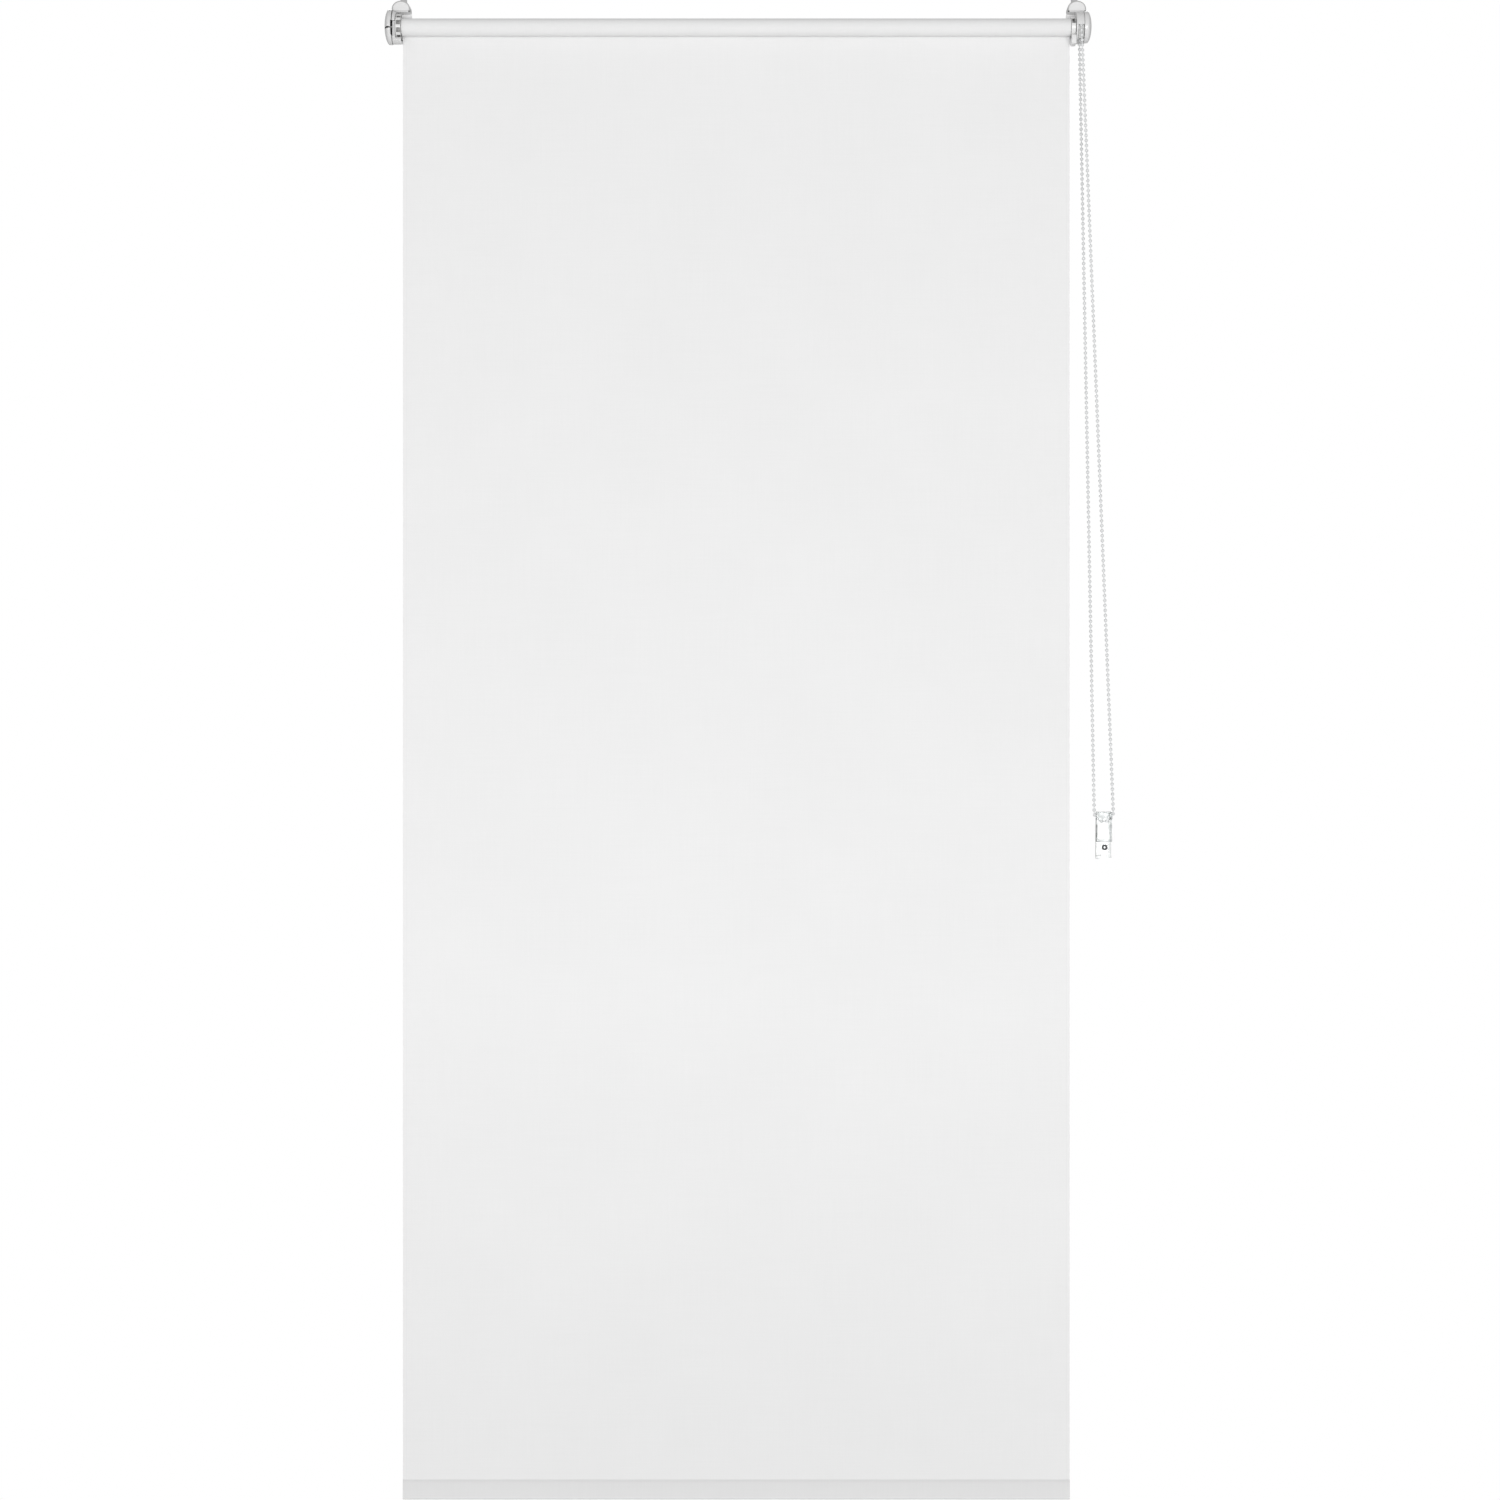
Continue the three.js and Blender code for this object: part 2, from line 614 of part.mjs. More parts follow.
// An upright slot shape with rounded ends, centred on the cloth's plane.
function uprightSlot(Path, thickness, bottom, top) {
  const r = thickness / 2;
  const path = new Path();
  path.absarc(CLOTH_Y, top - r, r, 0, Math.PI);
  path.absarc(CLOTH_Y, bottom + r, r, Math.PI, 2 * Math.PI);
  path.closePath();
  return path;
}

const hemBottom = HEM_TOP - HEM_HEIGHT;
const hemShape = uprightSlot(THREE.Shape, HEM_THICKNESS, hemBottom, HEM_TOP);
const hemWall = 0.45;
hemShape.holes.push(
  uprightSlot(THREE.Path, HEM_THICKNESS - 2 * hemWall, hemBottom + hemWall, HEM_TOP - hemWall),
);
addMesh("hem_pocket", alongX(hemShape, [-HALF_CLOTH, HALF_CLOTH], 5), clothFinish());

const barMiddle = (HEM_TOP + hemBottom) / 2;
const barBody = block(
  [-BAR_LENGTH / 2, BAR_LENGTH / 2],
  [CLOTH_Y - BAR_THICKNESS / 2, CLOTH_Y + BAR_THICKNESS / 2],
  [barMiddle - BAR_HEIGHT / 2, barMiddle + BAR_HEIGHT / 2],
);
addMesh("weight_bar", barBody, steel());

// ---- Bead chain, as plain tubes: over the wheel, down the front, round the tensioner, up the back --

const END_GAP = GAP / 2;
const frontY = AXIS_Y - CHAIN_WHEEL_RADIUS;
const backY = AXIS_Y + CHAIN_WHEEL_RADIUS;

function strand(topY, bottomX) {
  const top = new THREE.Vector3(WHEEL.x, topY, 0);
  const bottom = new THREE.Vector3(bottomX, LOOP_END.y, LOOP_END.z);
  const along = bottom.clone().sub(top).normalize().multiplyScalar(END_GAP);
  const line = new THREE.LineCurve3(top.add(along), bottom.sub(along));
  return wire(line, CHAIN_RADIUS, 8, 32);
}

function halfTurn(centre, start, through) {
  return wire(new HalfTurn(centre, start, through), CHAIN_RADIUS, 8, 8);
}

const wheelCentre = new THREE.Vector3(WHEEL.x, AXIS_Y, END_GAP);
const wrap = halfTurn(
  wheelCentre,
  new THREE.Vector3(0, CHAIN_WHEEL_RADIUS, 0),
  new THREE.Vector3(0, 0, CHAIN_WHEEL_RADIUS),
);
const loopCentre = new THREE.Vector3(LOOP_END.x, LOOP_END.y, LOOP_END.z - END_GAP);
const bottomTurn = halfTurn(
  loopCentre,
  new THREE.Vector3(LOOP_END.radius, 0, 0),
  new THREE.Vector3(0, 0, -LOOP_END.radius),
);
addMesh("chain_wheel_wrap", wrap, whitePlastic());
addMesh("chain_front_strand", strand(frontY, LOOP_END.x + LOOP_END.radius), whitePlastic());
addMesh("chain_bottom_turn", bottomTurn, whitePlastic());
addMesh("chain_back_strand", strand(backY, LOOP_END.x - LOOP_END.radius), whitePlastic());

// ---- Chain tensioner -----------------------------------------------------------------------------

function tensionerBase() {
  const { left, right, top, bottom, plate } = TENSIONER;
  const { x, z, shank } = TENSIONER_SCREW;
  return cut(
    join(
      block([left, right], [-plate, 0], [bottom, top]),
      block([left, right], [-5.5, -plate + 1], [bottom, bottom + 3.2]),
    ),
    turnedForward([[-9, 0], [-9, shank + GAP], [1, shank + GAP], [1, 0]], x, z, 16),
  );
}

function tensionerCover() {
  const { left, right, top, depth, plate } = TENSIONER;
  const back = -plate - GAP;
  const saddleRadius = LOOP_END.radius - CHAIN_RADIUS - 0.5;
  const saddle = new THREE.Shape();
  saddle.absarc(LOOP_END.x, top, saddleRadius, Math.PI, 2 * Math.PI);
  saddle.closePath();
  return join(
    block([left, right], [-depth, -depth + 1.6], [TENSIONER_STEP, top]),
    alongY(saddle, [-depth + 1, back]),
    block([left, right], [-depth + 1, back], [TENSIONER_STEP, TENSIONER_STEP + 1.8]),
    block([left, left + 1.6], [-depth + 1, back], [TENSIONER_STEP + 1, -789]),
    block([right - 1.6, right], [-depth + 1, back], [TENSIONER_STEP + 1, -789]),
  );
}

function tensionerScrew() {
  const { x, z, head, shank } = TENSIONER_SCREW;
  const face = -TENSIONER.plate - GAP;
  const profile = [
    [face - 2, 0],
    [face - 2, head - 1],
    [face - 0.9, head],
    [face, head],
    [face, shank],
    [-GAP, shank],
    [-GAP, 0],
  ];
  return turnedForward(profile, x, z, 20);
}

addMesh("tensioner_base", tensionerBase(), clearPlastic());
addMesh("tensioner_cover", tensionerCover(), clearPlastic());
addMesh("tensioner_screw", tensionerScrew(), steel());

export default blind;
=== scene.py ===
"""Clamp-on roller blind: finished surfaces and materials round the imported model.

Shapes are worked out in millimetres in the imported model's own frame, and become metres when a mesh is
made. +X runs to the chain side, +Y into the window and +Z up. A body is a pair of arrays: its points and
its faces. A piece is one object made of one or more closed bodies.
"""

import math

import bpy
import numpy as np
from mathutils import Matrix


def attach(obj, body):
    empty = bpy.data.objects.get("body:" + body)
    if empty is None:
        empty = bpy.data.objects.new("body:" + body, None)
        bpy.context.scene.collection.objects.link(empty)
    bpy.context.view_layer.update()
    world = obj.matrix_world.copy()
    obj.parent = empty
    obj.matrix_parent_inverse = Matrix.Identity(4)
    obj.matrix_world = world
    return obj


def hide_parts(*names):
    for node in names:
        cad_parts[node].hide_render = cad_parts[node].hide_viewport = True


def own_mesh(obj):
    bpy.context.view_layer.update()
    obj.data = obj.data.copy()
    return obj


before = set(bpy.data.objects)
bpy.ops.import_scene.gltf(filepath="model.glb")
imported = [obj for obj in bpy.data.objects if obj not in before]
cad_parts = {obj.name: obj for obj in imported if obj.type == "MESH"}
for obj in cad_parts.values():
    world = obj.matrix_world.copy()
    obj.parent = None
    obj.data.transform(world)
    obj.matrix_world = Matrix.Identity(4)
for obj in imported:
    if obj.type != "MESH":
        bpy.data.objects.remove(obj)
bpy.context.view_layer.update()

MM = 0.001

# ---- Camera ----

CLOTH_Y = -12.8
VIEW_DISTANCE = 3200.0  # from the lens to the hanging cloth
VIEW_WIDTH = 1487.3  # what the frame takes in at that distance
VIEW_CENTRE = (13.6, -714.6)
SENSOR = 36.0


def linked(name, data):
    """A new object that holds a mesh, a camera or a light."""
    made = bpy.data.objects.new(name, data)
    bpy.context.collection.objects.link(made)
    return made


def add_camera():
    data = bpy.data.cameras.new("camera")
    data.sensor_width = SENSOR
    data.lens = SENSOR * VIEW_DISTANCE / VIEW_WIDTH
    data.dof.use_dof = False
    data.clip_end = 50.0
    camera = linked("camera", data)
    x, z = VIEW_CENTRE
    camera.location = (x * MM, (CLOTH_Y - VIEW_DISTANCE) * MM, z * MM)
    camera.rotation_euler = (math.pi / 2, 0, 0)
    bpy.context.scene.camera = camera


add_camera()

# ---- Driving dimensions ----

AXIS_Y = -22.0
ROLLER = (0.0, AXIS_Y, 0.0)
TUBE_RADIUS = 8.0
ROLL_RADIUS = 8.7
HALF_CLOTH = 330.5
CLOTH_THICKNESS = 0.4
CLOTH_DROP = 1438.0
HEM_TOP, HEM_BOTTOM = -1438.3, -1457.7
HEM_HALF_DEPTH = 2.2
HALF_BAR = 327.5

CLAMPS = {"left": -332.1, "right": 337.3}
UNDERSIDE = 16.2
NOSE = {"half_width": 9.2, "height": 8.0, "base": 19.6, "chamfer": 1.6, "front": -18.0, "back": -2.0}
ARM = {"half_width": 5.6, "height": 3.6, "base": 21.4, "back": 38.0}
CHANNEL = {"half_width": 3.8, "bottom": 17.9, "top": 22.4, "front": -7.0}
NECK_SLOT = {"half_width": 1.9, "front": 6.0}
SCREW_SLOT = {"half_width": 1.9, "front": -0.5, "back": 19.5}
# where the two dark spots of painted shade sit on each clamp's arm, out from its middle and up
SHADE_SPOT_X, SHADE_SPOT_Z = 8.2, 16.9
LOCK_Y, LOCK_BASE, KNOB_RADIUS, KNOB_HEIGHT = 10.0, 25.3, 3.3, 12.3
ENTRY_Z = -3.3
IDLE_FACE, DRIVE_FACE = -339.3, 345.3
IDLE_DOME = {"apex": -347.3, "shoulder": -342.4, "rim": -339.7, "radius": 17.3}
DRIVE_DOME = {"apex": 351.0, "shoulder": 346.2, "rim": 343.4, "radius": 15.6}
COVER_WALL = 1.5

WHEEL_X, BEAD_RADIUS, CHAIN_WHEEL_RADIUS, POCKETS = 340.2, 1.75, 11.0, 14
LOOP_END = (365.05, -6.0, -776.0)
LOOP_RADIUS = 9.5
BEADS, CORE_RADIUS = 328, 0.5
FLOOR_Z = -1.6  # in metres, like everything of the studio

# ---- Surfaces ----


def outward(points, faces):
    """Turns every face round if the volume that they enclose, summed as signed tetrahedra, is negative."""
    volume = 0.0
    for size in {len(face) for face in faces}:
        corners = points[np.array([face for face in faces if len(face) == size])]
        for k in range(1, size - 1):
            normal = np.cross(corners[:, k], corners[:, k + 1])
            volume += (corners[:, 0] * normal).sum()
    return (points, [face[::-1] for face in faces]) if volume < 0 else (points, faces)


def welded(points, quads, caps=()):
    """One body from quads over an array of points. Points that coincide become one, so a pole's quads
    become triangles, and a cap is one flat face through a whole ring."""
    points, place = np.unique(np.round(points.reshape(-1, 3), 4), axis=0, return_inverse=True)
    place = place.reshape(-1)
    quads = place[quads]
    same = quads == np.roll(quads, -1, 1)
    faces = quads[~same.any(1)].tolist()
    for k in range(4):
        short = same[:, k] & (same.sum(1) == 1)
        faces += np.delete(quads[short], k, 1).tolist()
    faces += [place[cap].tolist() for cap in caps]
    return outward(points, faces)


def lofted(rings, around=True):
    """A body through rings of points, shape (rings, points, 3): each ring closes on itself. The rings
    close on each other too when around is false, and otherwise flat caps or poles end them."""
    rings = np.asarray(rings, float)
    count, size = rings.shape[:2]
    index = np.arange(count * size).reshape(count, size)
    rows = np.arange(count - 1 if around else count)
    here, there = index[rows], index[(rows + 1) % count]
    quads = np.stack([here, np.roll(here, -1, 1), np.roll(there, -1, 1), there], -1).reshape(-1, 4)
    spread = np.ptp(rings, axis=1).max(axis=1)
    ends = [index[k] for k in (0, -1) if around and spread[k] > 1e-3]
    return welded(rings, quads, [end[::-1] if end[0] == 0 else end for end in ends])


def walled(outer, inner, keep):
    """A wall between two grids of points, shape (rows, columns, 3), whose columns close on themselves.
    keep says which cells the wall has. Each border of what's left gets a side face, so that a cell left
    out is an opening right through."""
    rows, columns = outer.shape[:2]
    index = np.arange(rows * columns).reshape(rows, columns)
    a, b = index[:-1], np.roll(index, -1, 1)[:-1]
    c, d = np.roll(index, -1, 1)[1:], index[1:]
    far = rows * columns
    quads = [np.stack([a, b, c, d], -1)[keep], np.stack([d, c, b, a], -1)[keep] + far]
    empty = np.zeros((1, columns), bool)
    neighbours = (
        (np.vstack([empty, keep[:-1]]), a, b),
        (np.roll(keep, -1, 1), b, c),
        (np.vstack([keep[1:], empty]), c, d),
        (np.roll(keep, 1, 1), d, a),
    )
    for beside, first, second in neighbours:
        edge = keep & ~beside
        quads.append(np.stack([second, first, first + far, second + far], -1)[edge])
    return welded(np.vstack([outer.reshape(-1, 3), inner.reshape(-1, 3)]), np.vstack(quads))


def rounded(points, radii, steps=5):
    """A closed outline whose corners are arcs that touch both of their sides."""
    points = np.asarray(points, float)
    radii = np.broadcast_to(np.asarray(radii, float), len(points))
    pieces = []
    for corner, before, after, radius in zip(points, np.roll(points, 1, 0), np.roll(points, -1, 0), radii):
        back, ahead = before - corner, after - corner
        lengths = np.linalg.norm(back), np.linalg.norm(ahead)
        back, ahead = back / lengths[0], ahead / lengths[1]
        half = math.acos(np.clip(back @ ahead, -1, 1)) / 2
        if radius <= 0 or half > 1.56:
            pieces.append(corner[None])
            continue
        reach = min(radius / math.tan(half), 0.49 * min(lengths))
        middle = (back + ahead) / np.linalg.norm(back + ahead)
        centre = corner + middle * reach / math.cos(half)
        x, y = corner + back * reach - centre
        last = corner + ahead * reach - centre
        t = np.linspace(0, math.atan2(x * last[1] - y * last[0], x * last[0] + y * last[1]), steps + 1)
        spun = np.stack([x * np.cos(t) - y * np.sin(t), x * np.sin(t) + y * np.cos(t)], 1)
        pieces.append(centre + spun)
    return np.vstack(pieces)


def inset(outline, amount):
    """A closed outline moved inwards by an amount, along the mean of each point's two side normals."""
    ahead = np.roll(outline, -1, 0) - outline
    ahead /= np.maximum(np.linalg.norm(ahead, axis=1, keepdims=True), 1e-9)
    normal = np.stack([-ahead[:, 1], ahead[:, 0]], 1)
    mean = normal + np.roll(normal, 1, 0)
    mean /= np.maximum(np.linalg.norm(mean, axis=1, keepdims=True), 1e-9)
    stretch = np.clip((mean * normal).sum(1), 0.5, 1)[:, None]
    x, y = outline.T
    area = (x * np.roll(y, -1) - y * np.roll(x, -1)).sum()
    return outline + mean * (amount * np.sign(area)) / stretch


PLANES = {"x": (1, 2, 0), "y": (0, 2, 1), "z": (0, 1, 2)}


def placed(outline, depth, axis):
    """An outline in the plane across an axis, as points at a depth along it."""
    first, second, along = PLANES[axis]
    points = np.empty((len(outline), 3))
    points[:, first], points[:, second], points[:, along] = outline[:, 0], outline[:, 1], depth
    return points


def slab(outline, low, high, axis, edge=0.35, steps=3):
    """An outline carried along an axis, whose two rims are quarter circles of radius edge."""
    outline = np.asarray(outline, float)
    angles = np.linspace(0, math.pi / 2, steps + 1)
    rim = [(edge * (1 - math.sin(a)), edge * (1 - math.cos(a))) for a in angles]
    rings = [placed(inset(outline, dip), low + rise, axis) for dip, rise in rim]
    rings += [placed(inset(outline, dip), high - rise, axis) for dip, rise in reversed(rim)]
    return lofted(rings)


def cuboid(low, high, corner=0.5, edge=0.35, axis="y"):
    """A slab of a rounded rectangle between two opposite corners."""
    first, second, along = PLANES[axis]
    a, b, c, d = low[first], high[first], low[second], high[second]
    return slab(rounded([(a, c), (b, c), (b, d), (a, d)], corner), low[along], high[along], axis, edge)


def revolved(profile, centre=ROLLER, axis="x", sides=96, ring=False, reshape=None):
    """A profile of (place along an axis, radius) turned about it. reshape takes angle, place and radius
    as arrays and gives back the place and radius, for knurls, pockets and recesses."""
    profile = np.asarray(profile, float)
    angle = np.broadcast_to(np.linspace(0, 2 * math.pi, sides, endpoint=False), (len(profile), sides))
    along = np.broadcast_to(profile[:, :1], angle.shape)
    radius = np.broadcast_to(profile[:, 1:], angle.shape)
    if reshape is not None:
        along, radius = reshape(angle, along, radius)
    first, second, third = PLANES[axis]
    points = np.empty(angle.shape + (3,))
    points[..., first] = centre[first] + radius * np.cos(angle)
    points[..., second] = centre[second] + radius * np.sin(angle)
    points[..., third] = centre[third] + along
    return lofted(points, around=not ring)


def washer(low, high, inner, outer, edge=0.3, sides=96):
    """A ring about the roller's axis: a rounded rectangle turned about it."""
    section = rounded([(low, inner), (high, inner), (high, outer), (low, outer)], edge, 3)
    return revolved(section, sides=sides, ring=True)


def swept(path, radius, sides=12):
    """A round wire: circles across a path, each turned to a fixed direction so that none twists."""
    path = np.asarray(path, float)
    ahead = np.gradient(path, axis=0)
    ahead /= np.linalg.norm(ahead, axis=1, keepdims=True)
    side = np.cross(ahead, (0.83, 0.52, 0.19))
    side /= np.linalg.norm(side, axis=1, keepdims=True)
    up = np.cross(ahead, side)
    angle = np.linspace(0, 2 * math.pi, sides, endpoint=False)[None, :, None]
    return lofted(path[:, None] + radius * (side[:, None] * np.cos(angle) + up[:, None] * np.sin(angle)))


def sector(inner, outer, start, end, corner=0.3, steps=28):
    """Part of a ring across the roller's axis: angles in degrees from straight ahead, upwards."""
    angle = np.radians(np.linspace(start, end, steps + 1))
    unit = np.stack([-np.cos(angle), np.sin(angle)], 1)
    outline = np.vstack([outer * unit, inner * unit[::-1]]) + (AXIS_Y, 0)
    corners = np.zeros(len(outline))
    corners[[0, steps, steps + 1, -1]] = corner
    return rounded(outline, corners, 3)


def open_disc(radius, low, high, floor, steps=60):
    """A disc across the roller's axis with a square recess in from the front, from a low to a high Z."""
    start, end = math.asin(high / radius), 2 * math.pi + math.asin(low / radius)
    angle = np.linspace(start, end, steps)
    rim = np.stack([AXIS_Y - radius * np.cos(angle), radius * np.sin(angle)], 1)
    outline = np.vstack([rim, [(floor, low), (floor, high)]])
    return rounded(outline, np.r_[0.4, np.zeros(steps - 2), 0.4, 0.35, 0.35], 3)


# ---- Shader groups ----


class Graph:
    """A node tree being filled: each call makes one node or a few, and gives back the output asked for."""

    def __init__(self, tree):
        self.tree = tree

    def node(self, kind, inputs=(), **settings):
        made = self.tree.nodes.new("ShaderNode" + kind)
        for key, value in settings.items():
            setattr(made, key, value)
        for key, value in dict(inputs).items():
            self.feed(made.inputs[key], value)
        return made

    def feed(self, socket, value):
        if isinstance(value, bpy.types.NodeSocket):
            self.tree.links.new(value, socket)
        else:
            socket.default_value = value

    def math(self, operation, a, b=0.0):
        return self.node("Math", {0: a, 1: b}, operation=operation).outputs[0]

    def plus(self, a, b):
        return self.math("ADD", a, b)

    def minus(self, a, b):
        return self.math("SUBTRACT", a, b)

    def times(self, a, b):
        return self.math("MULTIPLY", a, b)

    def squares(self, a, b):
        return self.plus(self.times(a, a), self.times(b, b))

    def remap(self, value, low, high, to_low=0.0, to_high=1.0):
        inputs = {"Value": value, "From Min": low, "From Max": high, "To Min": to_low, "To Max": to_high}
        return self.node("MapRange", inputs, clamp=True).outputs["Result"]

    def mix(self, factor, a, b, blend="MIX"):
        return self.node("Mix", {0: factor, 6: a, 7: b}, data_type="RGBA", blend_type=blend).outputs[2]

    def mix_values(self, factor, a, b):
        return self.node("Mix", {0: factor, 2: a, 3: b}, data_type="FLOAT").outputs[0]

    def shaded(self, colour, shade):
        grey = self.node("CombineColor", {0: shade, 1: shade, 2: shade}).outputs[0]
        return self.mix(1.0, colour, grey, "MULTIPLY")

    def noise(self, place, scale, detail=2.0, roughness=0.5):
        inputs = {"Vector": place, "Scale": scale, "Detail": detail, "Roughness": roughness}
        return self.node("TexNoise", inputs).outputs["Fac"]

    def place(self):
        return self.node("TexCoord").outputs["Object"]

    def axes(self, vector):
        return self.node("SeparateXYZ", {0: vector}).outputs

    def stretched(self, vector, *scale):
        return self.node("Mapping", {"Vector": vector, "Scale": scale}).outputs[0]

    def group(self, tree, inputs):
        return self.node("Group", inputs, node_tree=tree).outputs


def solid(*tone):
    """A colour from one grey level, or from red, green and blue."""
    return (*(tone * 3 if len(tone) == 1 else tone), 1.0)


def effect_group(name, inputs, outputs):
    """An empty shader group with named sockets, each with its usual value. A colour is four numbers,
    and everything else is one."""
    tree = bpy.data.node_groups.new(name, "ShaderNodeTree")
    for way, sockets in (("INPUT", inputs), ("OUTPUT", outputs)):
        for label, value in sockets.items():
            kind = "Color" if isinstance(value, tuple) else "Float"
            socket = tree.interface.new_socket(name=label, in_out=way, socket_type="NodeSocket" + kind)
            socket.default_value = value
    entry, leave = (tree.nodes.new("NodeGroup" + end) for end in ("Input", "Output"))
    return tree, Graph(tree), entry.outputs, leave.inputs


WHITE = solid(1.0)


def build_moulded_skin():
    """Moulded plastic: a fine spark-eroded grain, slow drifts of tone, and dust on what faces up."""
    tree, g, entry, leave = effect_group(
        "moulded_skin",
        {"Tone": WHITE, "Dust Tone": solid(0.55, 0.53, 0.5), "Dust": 0.25, "Grain Scale": 2600.0,
         "Roughness": 0.42},
        {"Color": WHITE, "Roughness": 0.0, "Height": 0.0},
    )
    place = g.place()
    grain = g.noise(place, entry["Grain Scale"], 3.0, 0.6)
    drift = g.noise(place, 46.0, 3.0, 0.55)
    flow = g.noise(place, 9.0, 2.0, 0.5)
    shade = g.plus(g.remap(drift, 0.3, 0.7, 0.965, 1.0), g.remap(flow, 0.3, 0.7, -0.02, 0.0))
    up = g.axes(g.node("NewGeometry").outputs["Normal"])["Z"]
    settled = g.times(g.remap(up, 0.35, 0.95), g.remap(g.noise(place, 420.0, 4.0, 0.7), 0.42, 0.68))
    dusty = g.times(settled, entry["Dust"])
    g.feed(leave["Color"], g.mix(dusty, g.shaded(entry["Tone"], shade), entry["Dust Tone"]))
    rough = g.plus(entry["Roughness"], g.remap(drift, 0.3, 0.7, -0.05, 0.05))
    g.feed(leave["Roughness"], g.plus(rough, g.times(dusty, 0.5)))
    g.feed(leave["Height"], g.plus(grain, g.times(flow, 0.6)))
    return tree


def build_edge_wear():
    """A mask of the edges that hands and tools rub: convex edges, broken up by a noise."""
    tree, g, entry, leave = effect_group("edge_wear", {"Amount": 0.5, "Breakup Scale": 300.0}, {"Mask": 0.0})
    convex = g.remap(g.node("NewGeometry").outputs["Pointiness"], 0.52, 0.6)
    broken = g.remap(g.noise(g.place(), entry["Breakup Scale"], 4.0, 0.65), 0.38, 0.62)
    g.feed(leave["Mask"], g.times(g.times(convex, broken), entry["Amount"]))
    return tree


def build_plain_weave():
    """Plain weave on the cloth's own map: warp and weft are sine ridges that pass over each other in a
    chequer, with slubs that thicken a thread here and there, and a cloudy coating over both."""
    tree, g, entry, leave = effect_group(
        "plain_weave",
        {"Threads per Metre": 1500.0, "Slub": 0.5},
        {"Height": 0.0, "Thread": 0.0, "Cloud": 0.0},
    )
    flat = g.node("UVMap", uv_map="weave").outputs["UV"]
    split = g.axes(flat)
    pitch = g.times(entry["Threads per Metre"], math.pi)
    across, down = g.times(split["X"], pitch), g.times(split["Y"], pitch)
    warp, weft = (g.math("ABSOLUTE", g.math("SINE", way)) for way in (across, down))
    chequer = g.remap(g.times(g.math("COSINE", across), g.math("COSINE", down)), -0.35, 0.35)
    ridge = g.mix_values(chequer, warp, weft)
    long_ways = [(14.0, 900.0, 1.0), (900.0, 14.0, 1.0)]
    slub = g.plus(*(g.noise(g.stretched(flat, *way), 1.0, 3.0, 0.6) for way in long_ways))
    thread = g.times(g.remap(slub, 0.75, 1.25, -0.5, 0.5), entry["Slub"])
    g.feed(leave["Height"], g.plus(ridge, thread))
    g.feed(leave["Thread"], thread)
    g.feed(leave["Cloud"], g.remap(g.noise(flat, 7.0, 3.0, 0.5), 0.3, 0.7))
    return tree


def build_drawn_metal():
    """Drawn or rolled metal: fine lines that run along X, over a slow change of tone."""
    tree, g, entry, leave = effect_group(
        "drawn_metal",
        {"Line Scale": 4000.0, "Roughness": 0.32},
        {"Roughness": 0.0, "Height": 0.0, "Tone": 0.0},
    )
    place = g.place()
    lines = g.noise(g.stretched(place, 0.012, 1.0, 1.0), entry["Line Scale"], 3.0, 0.6)
    slow = g.noise(place, 60.0, 3.0, 0.5)
    g.feed(leave["Height"], lines)
    rough = g.plus(entry["Roughness"], g.remap(lines, 0.3, 0.7, -0.08, 0.1))
    g.feed(leave["Roughness"], g.plus(rough, g.remap(slow, 0.3, 0.7, -0.04, 0.06)))
    g.feed(leave["Tone"], g.remap(slow, 0.3, 0.7, 0.86, 1.0))
    return tree


MOULDED_SKIN = build_moulded_skin()
EDGE_WEAR = build_edge_wear()
PLAIN_WEAVE = build_plain_weave()
DRAWN_METAL = build_drawn_metal()

# ---- Materials ----


def new_material(name, **sockets):
    """A Principled material: the sockets named take plain values, with _ for a space."""
    material = bpy.data.materials.new(name)
    material.use_nodes = True
    shader = material.node_tree.nodes["Principled BSDF"]
    for key, value in sockets.items():
        shader.inputs[key.replace("_", " ")].default_value = value
    return material, Graph(material.node_tree), shader.inputs


def surfaced(g, sockets, colour, roughness, height, relief, strength=1.0):
    """Feeds a material's colour, roughness and height, whose relief is in millimetres."""
    g.feed(sockets["Base Color"], colour)
    g.feed(sockets["Roughness"], roughness)
    bump = g.node("Bump", {"Height": height, "Distance": relief * MM, "Strength": strength})
    g.feed(sockets["Normal"], bump.outputs["Normal"])


def plastic(name, tone, roughness, grain=2600.0, relief=0.012, dust=0.2, wear=0.35, extra=None, **sockets):
    """Moulded plastic, with worn edges a little lighter and smoother. extra changes the colour."""
    material, g, inputs = new_material(name, **sockets)
    skin = g.group(MOULDED_SKIN, {"Tone": tone, "Dust": dust, "Grain Scale": grain, "Roughness": roughness})
    mask = g.group(EDGE_WEAR, {"Amount": wear})["Mask"]
    colour = g.mix(mask, skin["Color"], tuple(min(1.0, 1.06 * part) for part in tone))
    if extra is not None:
        colour = extra(g, colour)
    surfaced(g, inputs, colour, g.minus(skin["Roughness"], g.times(mask, 0.12)), skin["Height"], relief)
    return material


def metal(name, tone, roughness, lines=4000.0):
    """Drawn metal, darker where its tone dips and brighter on worn edges."""
    material, g, inputs = new_material(name, Metallic=1.0)
    drawn = g.group(DRAWN_METAL, {"Line Scale": lines, "Roughness": roughness})
    worn = g.group(EDGE_WEAR, {"Amount": 0.4})
    dark = solid(*(0.82 * part for part in tone[:3]))
    colour = g.mix(worn["Mask"], g.mix(g.remap(drawn["Tone"], 0.86, 1.0), dark, tone), solid(0.9, 0.9, 0.91))
    surfaced(g, inputs, colour, drawn["Roughness"], drawn["Height"], 0.006)
    return material


